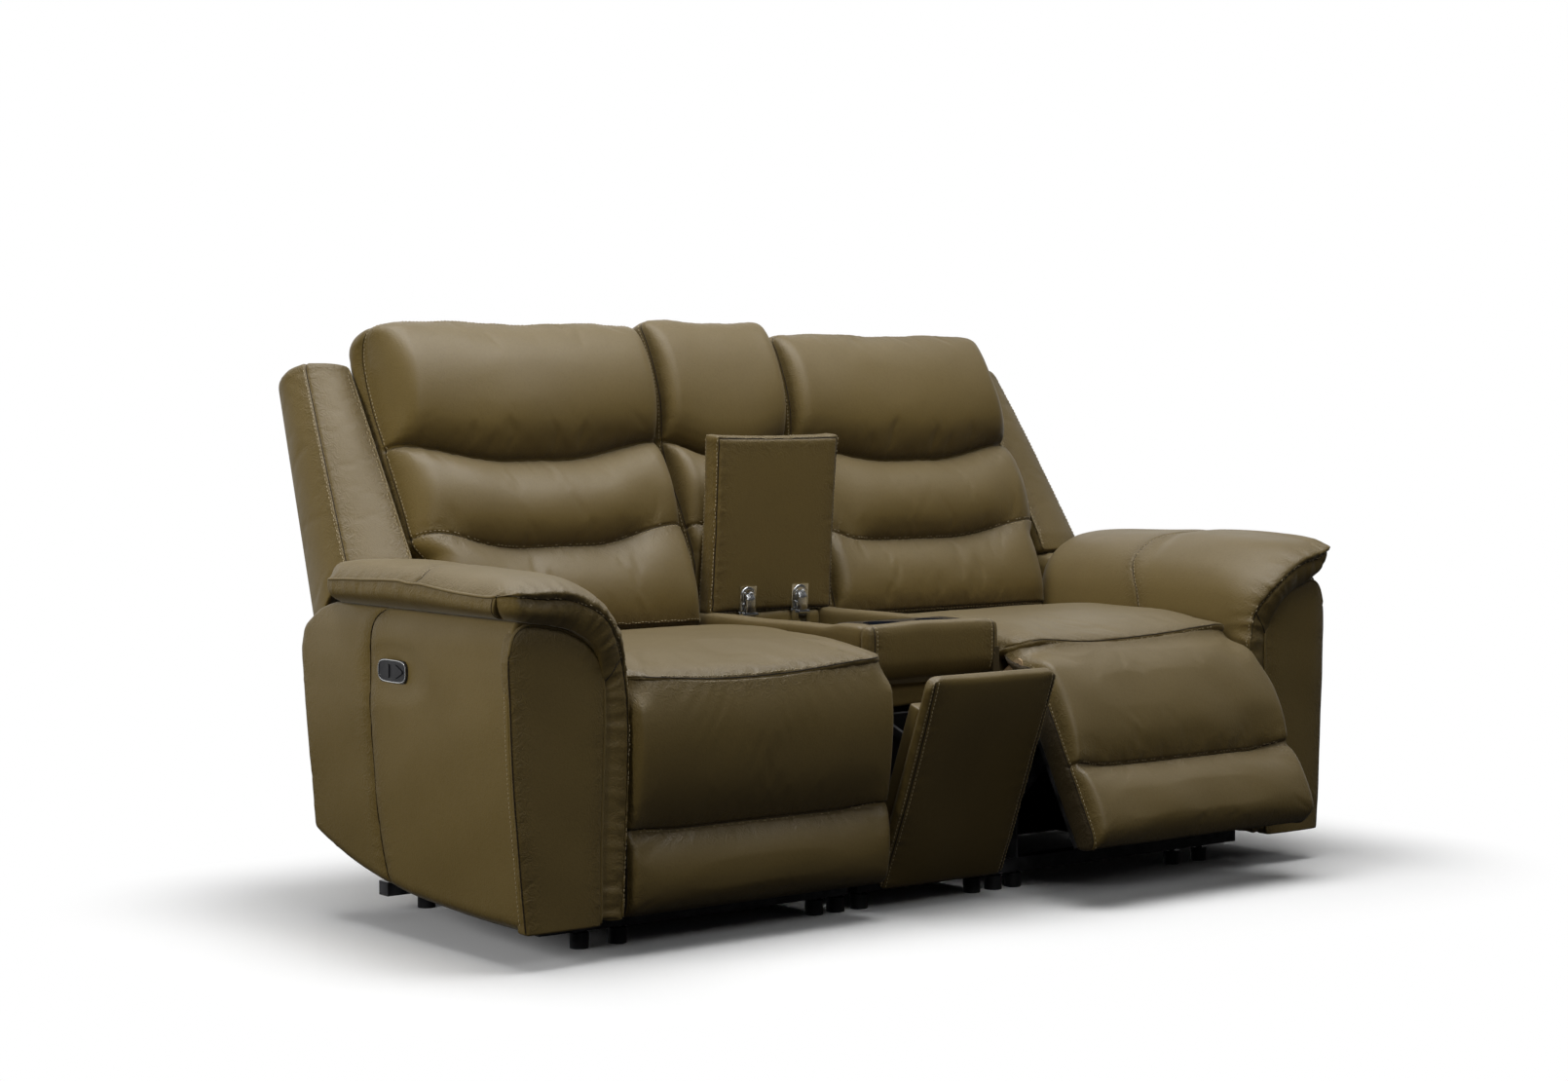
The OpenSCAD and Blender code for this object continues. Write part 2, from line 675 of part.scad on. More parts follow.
// Pillow of a back, from inner to outer beside its middle, wider by wide above the arms;
// relief keeps its front behind the open lid
module back_pillow(inner, outer, wide, relief) {
    m = relief ? 27 : 12;
    rows = [[0, 24, -18, 8], [16, 6, -40, 2], [80, 0, -62, 0], [135, 2, -56, 0], [170, 6, -36, 0],
        [valley_t, 10, -24, 0], [215, 6, -42, 0], [280, 0, -58, 0], [332, 4, -46, 0], [crease_t, 12, -14, 0],
        [crease_t + 16, 4, -48, 0], [crease_t + 70, 0, -76, 0], [crease_t + 140, 0, -72, 0],
        [back_len - 32, 6, -46, 2], [back_len - 8, 20, -18, 12], [back_len, 44, 6, 26]];
    color(leather) in_back() loft([for (r = rows)
        let (over = r[0] > 130 ? wide : 0)
        ring(inner + outer + over - 2 * r[1], relief ? max(r[2], lid_clear(r[0])) : r[2],
            back_cushion_t - r[3], r[0], m, (outer + over - inner) / 2, 0.42, 0.2)]);
}

module back_cushion(s) { at_seat(s) back_pillow(seat_w / 2 - 3, seat_w / 2 - 4, 22, false); }

module back_panel(s) { color(leather) at_seat(s) back_panel_shape(4 - seat_w / 2, wing_in - 2); }

module wing(s) {
    color(leather) at_seat(s) in_back() loft([for (r = wing_rings)
        ring(r[1], r[2], r[3], r[0], (r[2] + r[3]) / 2, wing_in + seat_gap + r[1] / 2, 0.34, 0.3, 16)]);
}

center_half = console_x - 5;

module center_back_cushion() { placed() back_pillow(center_half, center_half, 0, true); }

module center_back_panel() { color(leather) placed() back_panel_shape(4 - center_half, center_half - 4); }

module center_back_frame() {
    half = center_half - 8;
    stile_w = 30;
    leg_inset = 4;
    color(wood) placed() {
        in_back() {
            both() block(half - stile_w, half, back_board_n, back_board_n + frame_t, back_bottom, shell_top);
            back_slats(half);
        }
        both() yz_plate(half - stile_w + leg_inset, stile_w - 2 * leg_inset) polygon([
            [console_rear, deck_h - 60], [console_rear, deck_h + 80],
            from_back(back_board_n + leg_inset, leg_inset),
            from_back(back_board_n + frame_t - leg_inset, back_bottom + leg_inset)]);
    }
}

// Rear of the base

rear_panel_top = deck_h + 10;
rear_base_t = 12;
inlet_z = 120;

module rear_base_panel() {
    color(leather) placed() difference() {
        block(-arm_core_in + 12, arm_core_in - 12, base_rear, base_rear + rear_base_t, base_top - 12, rear_panel_top);
        rod_y(base_rear - 1, base_rear + rear_base_t + 1, 7, -seat_x + rail_x - 60, inlet_z);
    }
}

module power_supply() {
    x = -seat_x + rail_x - 60;
    color(plastic) placed() {
        block(x - 75, x + 75, base_rear - 40, base_rear, inlet_z - 28, inlet_z + 32);
        difference() {
            rod_y(base_rear - 1, base_rear + rear_base_t + 2, 6.9, x, inlet_z);
            rod_y(base_rear + 2, base_rear + rear_base_t + 3, 3.2, x, inlet_z);
        }
    }
}

// Mechanism

module mechanism_plates(s) {
    color(steel) at_seat(s) both() {
        yz_plate(plate_x, plate_t) polygon([[base_front, base_top], [deck_rear, base_top],
            [deck_rear, deck_h - rail_h], [deck_front, deck_h - rail_h], [deck_front, deck_h - rail_h - 50],
            [base_front, base_top + 110]]);
        rod_x(link_x - 1, plate_x + 1, pivot_r, crank_y, crank_z);
    }
}

module drive_link(s) {
    joint = [crank_y + link_dy, crank_z + link_dz];
    tube = [crank_y + tube_dy, crank_z + tube_dz];
    color(steel) at_seat(s) swung(opening(s), crank_y, crank_z) {
        both() difference() {
            union() {
                yz_plate(link_x, plate_t) {
                    bar([crank_y, crank_z], joint, link_w);
                    bar([crank_y, crank_z], tube, link_w);
                    bar(tube, joint, link_w * 0.7);
                }
                rod_x(coupler_x - 1, link_x + 1, pivot_r, joint[0], joint[1]);
            }
            rod_x(link_x - 1, link_x + plate_t + 1, pivot_r + fit, crank_y, crank_z);
        }
        rod_x(-link_x - 1, link_x + 1, tube_r, tube[0], tube[1]);
    }
}

module coupler_links(s) {
    a = opening(s);
    joint = [crank_y + link_dy, crank_z + link_dz];
    pin = [hinge_y + link_dy, hinge_z + link_dz];
    color(steel) at_seat(s)
        translate([0, link_dy * cos(a) + link_dz * sin(a) - link_dy, link_dz * cos(a) - link_dy * sin(a) - link_dz])
            both() difference() {
                yz_plate(coupler_x, plate_t) bar(joint, pin, link_w);
                rod_x(coupler_x - 1, coupler_x + plate_t + 1, pivot_r + fit, joint[0], joint[1]);
                rod_x(coupler_x - 1, coupler_x + plate_t + 1, pivot_r + seat_gap, pin[0], pin[1]);
            }
}

module footrest_board(s) {
    y0 = hinge_y + board_n;
    y1 = y0 + board_t;
    pin = [hinge_y + link_dy, hinge_z + link_dz];
    color(wood) footrest_place(s) {
        block(-pad_half, pad_half, y0, y1, hinge_z - footrest_len + 8, hinge_z + 8);
        both() {
            yz_plate(pad_half, plate_t) {
                bar([hinge_y, hinge_z], [hinge_y, hinge_z - 60], 2 * ear_r);
                translate([hinge_y, hinge_z - 60]) square([board_n + board_t, 50]);
            }
            rod_x(pad_half, deck_half + plate_t, pivot_r, hinge_y, hinge_z);
            yz_plate(lug_x, plate_t) difference() {
                bar([y1 - 4, pin[1]], pin, link_w);
                translate([0, pin[1] - link_w]) square([y0 + 2, 2 * link_w]);
            }
            rod_x(lug_x, coupler_x + plate_t, pivot_r, pin[0], pin[1]);
        }
    }
}

module footrest_pad(s) {
    back = footrest_pad_t;
    color(leather) footrest_place(s) translate([0, hinge_y, hinge_z]) loft([
        for (i = [len(pad_front) - 1:-1:0]) let (p = pad_front[i], last = i == len(pad_front) - 1,
            drawn = i == 0 || last ? 22 : (p[0] == -crease_drop ? 8 : 2))
            ring(2 * (pad_half - drawn), -p[1], i == 0 ? 10 : board_n - seat_gap, p[0], -4, 0, 0.3, 0.16)]);
}

module carriage(s) {
    y = crank_y + tube_dy + yoke_shift;
    slot_y = tube_r + yoke_play;
    z0 = crank_z - tube_arm - tube_r - 3;
    z1 = crank_z + tube_dz + tube_r + 3;
    color(steel) at_seat(s) translate([0, y - travel_per_degree * opening(s), 0]) {
        difference() {
            block(-22, 22, -nut_half, nut_half, rail_top + seat_gap, screw_z + 17);
            rod_y(-nut_half - 1, nut_half + 1, screw_r + fit, 0, screw_z);
        }
        both() yz_plate(12, plate_t) difference() {
            translate([-nut_half, screw_z + 16]) square([2 * nut_half, z1 + 8 - screw_z - 16]);
            translate([-slot_y, z0]) square([2 * slot_y, z1 - z0]);
        }
    }
}

module lead_screw(s) {
    color(chrome) at_seat(s) rod_y(rail_y0 - 1, mid_rail_y + 2, screw_r, 0, screw_z);
}

module actuator_rails() {
    color(steel) placed() both() translate([seat_x, 0, 0]) {
        block(-rail_half, rail_half, rail_y0, rail_y1, rail_top - actuator_rail_t, rail_top);
        difference() {
            block(-rail_half, rail_half, rail_y0 - 6, rail_y0 + 3, rail_top - actuator_rail_t, screw_z + 2 * screw_r);
            rod_y(rail_y0 - 2, rail_y0 + 4, screw_r + fit, 0, screw_z);
        }
    }
}

module actuator_motors() {
    color(plastic) placed() both() translate([seat_x, 0, 0]) {
        difference() {
            block(-gearbox_half, gearbox_half, mid_rail_y, mid_rail_y + gearbox_len, rail_top, screw_z + 30);
            rod_y(mid_rail_y - 1, mid_rail_y + 3, screw_r + fit, 0, screw_z);
        }
        rod_y(mid_rail_y + gearbox_len - 1, mid_rail_y + gearbox_len + motor_len, motor_r, 0, screw_z + 5);
    }
}

base_frame(-1);  // left_base_frame
base_frame(1);  // right_base_frame
console_base_frame();
floor_glides();
arm_body(-1);  // left_arm_body
arm_body(1);  // right_arm_body
arm_front(-1);  // left_arm_front
arm_front(1);  // right_arm_front
arm_pad(-1);  // left_arm_pad
arm_pad(1);  // right_arm_pad
switch_plate(-1);  // left_switch_plate
switch_plate(1);  // right_switch_plate
push_button(-1, false);  // left_recline_button
push_button(-1, true);  // left_return_button
push_button(1, false);  // right_recline_button
push_button(1, true);  // right_return_button
seat_deck(-1);  // left_seat_deck
seat_deck(1);  // right_seat_deck
seat_webbing();
seat_cushion(-1);  // left_seat_cushion
seat_cushion(1);  // right_seat_cushion
console_carcass();
console_top();
cup_holder();
center_back_frame();
center_back_panel();
center_back_cushion();
lid_hinge_bases();
rear_base_panel();
power_supply();
mechanism_plates(-1);  // left_mechanism_plates
mechanism_plates(1);  // right_mechanism_plates
actuator_rails();
actuator_motors();
footrest_board(-1);  // left_footrest_board
footrest_pad(-1);  // left_footrest_pad
footrest_board(1);  // right_footrest_board
footrest_pad(1);  // right_footrest_pad
drive_link(-1);  // left_drive_link
drive_link(1);  // right_drive_link
coupler_links(-1);  // left_coupler_links
coupler_links(1);  // right_coupler_links
carriage(-1);  // left_carriage
carriage(1);  // right_carriage
lead_screw(-1);  // left_lead_screw
lead_screw(1);  // right_lead_screw
back_frame(-1);  // left_back_frame
back_panel(-1);  // left_back_panel
back_cushion(-1);  // left_back_cushion
wing(-1);  // left_wing
back_frame(1);  // right_back_frame
back_panel(1);  // right_back_panel
back_cushion(1);  // right_back_cushion
wing(1);  // right_wing
lid_board();
lid_pad();
lid_hinge_leaves();
door_panel();
door_bin();
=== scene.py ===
import math
import bpy
import numpy as np
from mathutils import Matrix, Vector
from mathutils.bvhtree import BVHTree


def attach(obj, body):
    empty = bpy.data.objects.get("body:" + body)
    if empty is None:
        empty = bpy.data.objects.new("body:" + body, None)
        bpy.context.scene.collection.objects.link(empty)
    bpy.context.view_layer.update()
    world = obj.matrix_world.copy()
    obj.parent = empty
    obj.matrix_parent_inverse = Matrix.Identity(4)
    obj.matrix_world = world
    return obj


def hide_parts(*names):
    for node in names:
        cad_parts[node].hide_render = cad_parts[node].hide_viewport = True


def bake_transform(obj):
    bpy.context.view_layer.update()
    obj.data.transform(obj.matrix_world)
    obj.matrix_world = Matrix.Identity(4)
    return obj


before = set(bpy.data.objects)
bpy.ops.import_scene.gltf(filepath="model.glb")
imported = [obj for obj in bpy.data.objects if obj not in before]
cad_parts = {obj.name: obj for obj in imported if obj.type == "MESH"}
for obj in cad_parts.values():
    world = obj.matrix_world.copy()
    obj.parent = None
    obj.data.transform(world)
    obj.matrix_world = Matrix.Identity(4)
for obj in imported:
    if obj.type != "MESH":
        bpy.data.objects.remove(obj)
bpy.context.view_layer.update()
scene = bpy.context.scene

setback = 0.370843      # the arm fronts stand this far ahead of the middle of the footprint
seatX = 0.4475          # middle of a seat, from the middle of the sofa
print("frame loaded")


# numbers along curves

def ease(a, b, x):
    s = np.clip((np.asarray(x, float) - a) / (b - a), 0, 1)
    return s * s * (3 - 2 * s)


def spline(keys, x):
    # smooth curve through keys (place, value, value...), flat beyond its ends
    keys = np.array(keys, float)
    k, v = keys[:, 0], keys[:, 1:]
    x = np.clip(np.asarray(x, float), k[0], k[-1])
    gap = np.diff(k)[:, None]
    secant = np.diff(v, axis=0) / gap
    inner = (secant[1:] * gap[:-1] + secant[:-1] * gap[1:]) / (gap[1:] + gap[:-1])
    slope = np.vstack([secant[:1], inner, secant[-1:]])
    i = np.clip(np.searchsorted(k, x, side="right") - 1, 0, len(k) - 2)
    h = (k[i + 1] - k[i])[..., None]
    s = (x[..., None] - k[i][..., None]) / h
    out = ((2 * s**3 - 3 * s**2 + 1) * v[i] + (s**3 - 2 * s**2 + s) * h * slope[i]
           + (3 * s**2 - 2 * s**3) * v[i + 1] + (s**3 - s**2) * h * slope[i + 1])
    return out[..., 0] if v.shape[1] == 1 else out


def spread(count, tight):
    # count + 1 places from 0 to 1, closer together near both ends
    s = np.linspace(-1, 1, count + 1)
    return (s + tight * np.sin(math.pi * s) + 1) / 2


def roundOff(distance, radius):
    # 0 at an edge, rising as a quarter circle to 1 at radius from it
    s = np.clip(np.asarray(distance, float) / radius, 0, 1)
    return np.sqrt(np.clip(1 - (1 - s) ** 2, 0, 1))


def waves(points, seed, length, height):
    # slow irregular swelling, the same every run
    draw = np.random.default_rng(seed)
    total, count = 0, 7
    for _ in range(count):
        direction = draw.normal(size=3)
        direction /= np.linalg.norm(direction)
        wave = length * draw.uniform(0.7, 1.5)
        total = total + np.sin(points @ direction * 2 * math.pi / wave + draw.uniform(0, 7))
    return total * height / math.sqrt(count)


def flatWaves(a, b, seed, length, height):
    return waves(np.stack([a, b, 0 * b], -1), seed, length, height)


def unit(vectors):
    return vectors / np.maximum(np.linalg.norm(vectors, axis=-1, keepdims=True), 1e-9)


# meshes: sheets, closed pads, padded boxes

def quads(index):
    return np.stack([index[:-1, :-1], index[1:, :-1], index[1:, 1:], index[:-1, 1:]], -1).reshape(-1, 4)


def padShape(front, back, rings, bulge):
    # closed pad: a front sheet, a back sheet of as many points, and a boxing strip round them
    m, n = front.shape[:2]
    grid = np.arange(m * n).reshape(m, n)
    loop = np.concatenate([grid[:-1, 0], grid[-1, :-1], grid[:0:-1, -1], grid[0, :0:-1]])
    a, b = front.reshape(-1, 3)[loop], back.reshape(-1, 3)[loop]
    outward = unit(np.cross(np.roll(a, -1, 0) - np.roll(a, 1, 0), b - a))
    if np.sum(outward * (a - a.mean(0))) < 0:
        outward = -outward
    swell = np.broadcast_to(bulge(a) if callable(bulge) else bulge, (len(loop),))[:, None]
    points, faces, strips = [front.reshape(-1, 3)], [quads(grid)], [loop]
    for k in range(1, rings):
        f = k / rings
        strips.append(m * n + (k - 1) * len(loop) + np.arange(len(loop)))
        points.append(a * (1 - f) + b * f + outward * swell * math.sin(math.pi * f))
    start = m * n + (rings - 1) * len(loop)
    points.append(back.reshape(-1, 3))
    faces.append(quads(grid + start)[:, ::-1])
    strips.append(loop + start)
    for one, two in zip(strips, strips[1:]):
        faces.append(np.stack([np.roll(one, -1), one, two, np.roll(two, -1)], -1))
    return {"points": np.vstack(points), "faces": np.vstack(faces), "grid": grid, "loop": loop,
            "rim": np.append(loop, loop[0]), "strips": strips, "back": grid.ravel() + start}


def placed(points, side=1):
    # from the measured frame, front of the arms at 0 and the right half, to the frame of the model
    points = np.array(points, float)
    points[..., 0] *= side
    points[..., 1] -= setback
    return points


def triples(items, what):
    out = np.zeros(len(items) * 3)
    items.foreach_get(what, out)
    return out.reshape(-1, 3)


def coordinates(piece):
    return triples(piece.data.vertices, "co")


def setCoordinates(piece, points):
    piece.data.vertices.foreach_set("co", np.asarray(points, float).ravel())
    piece.data.update()


def newPiece(name, points, faces, material):
    mesh = bpy.data.meshes.new(name)
    mesh.from_pydata(points, [], faces)
    mesh.shade_smooth()
    mesh.materials.append(material)
    piece = bpy.data.objects.new(name, mesh)
    scene.collection.objects.link(piece)
    return piece


def addMesh(name, points, faces):
    # a leather piece, with its faces turned outwards
    first, second, third = (points[faces[:, i]] for i in (0, 1, 2))
    if np.sum(np.cross(second - first, third - first) * (first + third)) < 0:
        faces = faces[:, ::-1]
    return newPiece(name, points.tolist(), faces.tolist(), hide)


def boxPad(name, low, high, edge, divide):
    # a padded box with its own cuts along each axis, rounded along every edge
    low, size = np.array(low, float), np.subtract(high, low)
    cuts, points, faces, first = [], [], [], 0
    for count, length in zip(divide, size):
        inner = np.linspace(edge, length - edge, max(2, count - 1))
        cuts.append(np.concatenate([[0, edge * 0.35], inner, [length - edge * 0.35, length]]))
    for axis in range(3):
        one, two = (axis + 1) % 3, (axis + 2) % 3
        for end in (0, -1):
            sheet = np.zeros((len(cuts[one]), len(cuts[two]), 3))
            sheet[..., one], sheet[..., two], sheet[..., axis] = cuts[one][:,
                                                                           None], cuts[two], cuts[axis][end]
            index = quads(first + np.arange(sheet[..., 0].size).reshape(sheet.shape[:2]))
            faces.append(index if end else index[:, ::-1])
            points.append(sheet.reshape(-1, 3))
            first += len(points[-1])
    points = np.vstack(points)
    core = np.clip(points, edge, size - edge)
    away = points - core
    points = core + unit(away) * np.abs(away).max(-1, keepdims=True)
    _, kept, same = np.unique(np.round(points, 7), axis=0, return_index=True, return_inverse=True)
    return addMesh(name, points[kept] + low, same.ravel()[np.vstack(faces)])


def refine(piece, sharp=()):
    # one subdivision, applied; the vertex chains in sharp keep an edge
    pairs = {(min(a, b), max(a, b)): strength for chain, strength in sharp for a, b in zip(chain, chain[1:])}
    crease = piece.data.attributes.new("crease_edge", "FLOAT", "EDGE")
    crease.data.foreach_set("value", [pairs.get((min(e.vertices), max(e.vertices)),
                                                0.0) for e in piece.data.edges])
    smooth = piece.modifiers.new("smooth", "SUBSURF")
    smooth.levels = smooth.render_levels = 1
    graph = bpy.context.evaluated_depsgraph_get()
    mesh = bpy.data.meshes.new_from_object(piece.evaluated_get(graph))
    piece.modifiers.clear()
    old, piece.data = piece.data, mesh
    bpy.data.meshes.remove(old)
    mesh.name = piece.name
    left = mesh.attributes.get("crease_edge")
    if left:
        mesh.attributes.remove(left)


clothForm = {"frames": 20, "quality": 5, "mass": 0.3, "stiff": 15, "shear": 5, "bending": 0.5}


def puff(piece, held, form):
    # a short cloth run with air pressure: the leather swells and puckers between the held stitches
    group = piece.vertex_groups.new(name="held")
    for chain, weight in held:
        group.add([int(i) for i in chain], weight, "REPLACE")
    before = coordinates(piece)
    cloth = piece.modifiers.new("fill", "CLOTH")
    how = cloth.settings
    how.quality = clothForm["quality"]
    how.mass = clothForm["mass"]
    how.vertex_group_mass = "held"
    how.use_pressure = True
    how.uniform_pressure_force = form["pressure"]
    how.tension_stiffness = how.compression_stiffness = clothForm["stiff"]
    how.shear_stiffness = clothForm["shear"]
    how.bending_stiffness = clothForm["bending"]
    how.shrink_min = how.shrink_max = -form["spare"]      # more leather than the form needs
    how.effector_weights.gravity = 0
    cloth.collision_settings.use_collision = False
    for number in range(1, clothForm["frames"] + 1):
        scene.frame_set(number)
    graph = bpy.context.evaluated_depsgraph_get()
    step = triples(piece.evaluated_get(graph).data.vertices, "co") - before
    far = np.linalg.norm(step, axis=1, keepdims=True)
    step *= np.minimum(1, form["most"] / np.maximum(far, 1e-9))      # no point leaves its drawn place by more
    piece.modifiers.clear()
    piece.vertex_groups.clear()
    scene.frame_set(1)
    setCoordinates(piece, before + step)
    print("filled", piece.name, "moved", round(min(float(far.max()), form["most"]) * 1000, 1), "mm at most")


def softBody(name, shape, side, sharp, held=(), form=None):
    # a cushion from its sheets: air, then one subdivision that keeps the seams
    piece = addMesh(name, placed(shape["points"], side), shape["faces"])
    if form:
        puff(piece, held, form)
    refine(piece, sharp)
    return piece


# seams: lines on a piece, and what the leather does beside them

def nearest(points, line, margin):
    # for each point: place along the line in metres, and distance from it
    line = np.asarray(line, np.float32)
    start, step = line[:-1], np.diff(line, axis=0)
    long = np.maximum(np.linalg.norm(step, axis=1), 1e-9)
    along = np.concatenate([[0], np.cumsum(long)])[:-1]
    place, distance = np.zeros(len(points)), np.full(len(points), 9.0)
    # only the points in a cell beside the line are measured
    cell, half, code = margin / 2, 2048, (1, 4096, 4096 * 4096)
    reach = np.arange(-2, 3)
    around = np.stack(np.meshgrid(reach, reach, reach), -1).reshape(-1, 3)
    busy = np.unique(((np.floor(line / cell).astype(int) + half)[:, None] + around).reshape(-1, 3) @ code)
    close = np.nonzero(np.isin((np.floor(points / cell).astype(int) + half) @ code, busy))[0]
    points = points.astype(np.float32)
    for chunk in np.array_split(close, max(1, len(close) * len(start) // 400000 + 1)):
        rel = points[chunk][:, None, :] - start
        f = np.clip((rel * step).sum(-1) / long**2, 0, 1)
        rel -= f[..., None] * step
        gap = (rel * rel).sum(-1)
        j = gap.argmin(1)
        every = np.arange(len(chunk))
        distance[chunk] = np.sqrt(gap[every, j])
        place[chunk] = along[j] + f[every, j] * long[j]
    return place, distance, float(along[-1] + long[-1])


class Seam:
    # a line on a piece, with each point's place along it and distance from it
    def __init__(self, piece, line, margin=0.07):
        self.line = np.asarray(line, float)
        self.place, self.distance, self.length = nearest(coordinates(piece), self.line, margin)


def lineOf(piece, spots):
    return coordinates(piece)[spots]


def seamAt(piece, spots, margin=0.07):
    return Seam(piece, lineOf(piece, spots), margin)


def pucker(piece, seam, fold, seed, only=None):
    # small folds that run out from a seam; a fold is (spacing, width, reach, height, slant)
    points, out = coordinates(piece), triples(piece.data.vertex_normals, "vector")
    place, distance = seam.place, seam.distance
    spacing, width, length, high, lean = (*fold, 0.3)[:5]
    draw = np.random.default_rng(seed)
    height = np.zeros(len(points))
    for s in np.arange(spacing * 0.5, seam.length, spacing):
        s += draw.uniform(-0.4, 0.4) * spacing
        wide = width * draw.uniform(0.6, 1.5)
        reach = length * draw.uniform(0.5, 1.5)
        tall = high * draw.choice([1, 1, -1]) * draw.uniform(0.3, 1)
        slant = draw.normal() * lean
        some = np.nonzero((np.abs(place - s) < 3 * wide + abs(slant) * 2 * reach) & (distance < 2.2 * reach))[0]
        off = (place[some] - s - slant * distance[some]) / wide
        height[some] += tall * np.exp(-off**2 - (distance[some] / reach) ** 2)
    height *= 1 - np.exp(-(distance / 0.004) ** 2) * 0.8
    if only is not None:
        height *= only(points)
    setCoordinates(piece, points + out * height[:, None])


def groove(piece, seam, deep, wide):
    points, out = coordinates(piece), triples(piece.data.vertex_normals, "vector")
    setCoordinates(piece, points - out * (deep * np.clip(1 - seam.distance / wide, 0, 1) ** 2)[:, None])


def markSeams(piece, seams):
    # how near a seam each point is, for the painted shade beside the seams and the small folds
    near = np.zeros(len(piece.data.vertices))
    for seam in seams:
        near = np.maximum(near, np.exp(-(seam.distance / 0.03) ** 2))
    mark = piece.data.attributes.new("seamNear", "FLOAT", "POINT")
    mark.data.foreach_set("value", near.astype(np.float32))


def evenly(line, pitch, closed=False):
    line = np.asarray(line, float)
    if closed:
        line = np.vstack([line, line[:1]])
    along = np.concatenate([[0], np.cumsum(np.linalg.norm(np.diff(line, axis=0), axis=1))])
    s = np.linspace(0, along[-1], max(2, int(round(along[-1] / pitch))) + 1)
    if closed:
        s = s[:-1]
    return np.stack([np.interp(s, along, line[:, k]) for k in range(3)], -1)


def soften(line, rounds):
    for _ in range(rounds):
        line[1:-1] = (line[:-2] + 2 * line[1:-1] + line[2:]) / 4
    return line


def circle(count):
    a = np.arange(count) * 2 * math.pi / count
    return np.stack([np.cos(a), np.sin(a)], -1)


def tube(line, radius, sides, closed=False):
    # a round cord along a line: leather piping, a dark seam cord of painted shade, or a chrome rim
    count = len(line)
    run = unit(np.roll(line, -1, 0) - np.roll(line, 1, 0) if closed else np.gradient(line, axis=0))
    side, sideways = np.cross(run[0], (0.31, 0.57, 0.76)), []
    for k in range(count):
        side = unit(side - run[k] * np.dot(side, run[k]))
        sideways.append(side)
    sideways = np.array(sideways)
    if closed:      # take the leftover twist out evenly
        last = sideways[-1] - run[0] * np.dot(sideways[-1], run[0])
        turn = math.atan2(np.dot(np.cross(last, sideways[0]), run[0]), np.dot(last, sideways[0]))
        angle = np.linspace(0, turn, count)[:, None]
        sideways = sideways * np.cos(angle) + np.cross(run, sideways) * np.sin(angle)
    across = np.stack([sideways, np.cross(run, sideways)], 1)
    size = np.full(count, float(radius))
    if not closed:
        size[[0, -1]] *= 0.35
    points = (line[:, None] + circle(sides) @ across * size[:, None, None]).reshape(-1, 3)
    index = np.arange(count * sides).reshape(count, sides)
    around = np.concatenate([index, index[:, :1]], 1)
    if closed:
        return points, quads(np.vstack([around, around[:1]])).tolist()
    faces = quads(around).tolist()
    for cap, middle in ((around[0], len(points)), (around[-1][::-1], len(points) + 1)):
        faces += [[a, b, middle] for a, b in zip(cap, cap[1:])]
    return np.vstack([points, line[[0, -1]]]), faces


class Heap:
    # gathers many small closed shapes into one mesh
    def __init__(self):
        self.points, self.faces, self.count = [], [], 0

    def add(self, points, faces):
        self.points.append(np.asarray(points, float))
        self.faces += [[int(i) + self.count for i in face] for face in faces]
        self.count += len(points)

    def build(self, name, material):
        return newPiece(name, np.vstack(self.points).tolist(), self.faces, material)


def surfaceOf(piece):
    mesh = piece.data
    return BVHTree.FromPolygons([v.co for v in mesh.vertices], [p.vertices for p in mesh.polygons])


def onSurface(surface, line):
    return np.array([surface.find_nearest(Vector(p))[0] for p in line])


stitchForm = {
    "long": 0.0052, "gap": 0.0024, "thick": 0.0008, "proud": 0.0004,
    # along one stitch: share of its half length, size, lift
    "share": (-1, -0.8, 0, 0.8, 1), "size": (0.35, 0.85, 1, 0.85, 0.35), "lift": (-1.2, 0.2, 1, 0.2, -1.2),
}


def stitches(heap, surface, line, offset):
    # a row of single stitches beside a seam, offset to one side of it
    form = stitchForm
    line = evenly(line, form["long"] + form["gap"])
    run = unit(np.gradient(line, axis=0))
    share = np.array(form["share"])[:, None] * form["long"] / 2
    lift = np.array(form["lift"])[:, None] * form["proud"]
    size = np.array(form["size"])[:, None, None]
    flat = circle(5)
    index = np.arange(25).reshape(5, 5)
    faces = quads(np.concatenate([index, index[:, :1]], 1)).tolist() + [index[0][::-1].tolist(),
                                                                        index[-1].tolist()]
    for spot, ahead in zip(line, run):
        out = np.array(surface.find_nearest(Vector(spot))[1])
        aside = unit(np.cross(out, ahead))
        spot, out, _, _ = surface.find_nearest(Vector(spot + aside * offset))
        out = np.array(out)
        ahead = unit(ahead - out * np.dot(ahead, out))
        ring = flat @ np.stack([np.cross(out, ahead), out]) * form["thick"]
        centre = np.array(spot) + ahead * share + out * lift
        heap.add((centre[:, None] + ring * size).reshape(-1, 3), faces)


cordForm = {"pitch": 0.005, "radius": 0.0011, "sides": 6, "pipePitch": 0.006, "pipeSides": 10}


def sewn(name, piece, stitched=(), cords=(), pipes=(), pipeRadius=0.0026):
    # stitches, dark seam cords of painted shade and piping of a piece: stitched are (line, offset...), cords and pipes
    # are lines
    surface = surfaceOf(piece)
    form = cordForm
    heaps = Heap(), Heap(), Heap()
    for line, *offsets in stitched:
        for offset in offsets:
            stitches(heaps[0], surface, line, offset)
    for line in cords:
        line = soften(onSurface(surface, evenly(line, form["pitch"])), 1)
        heaps[1].add(*tube(line, form["radius"], form["sides"]))
    for line in pipes:
        heaps[2].add(*tube(soften(evenly(line, form["pipePitch"]), 2), pipeRadius, form["pipeSides"]))
    names = (("_stitches", thread), ("_seam_shade", seamShade), ("_piping", hide))
    return [heap.build(name + end, material) for heap, (end, material) in zip(heaps, names) if heap.count]


def fit(pieces, body):
    for one in pieces:
        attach(one, body)


# camera, floor and light

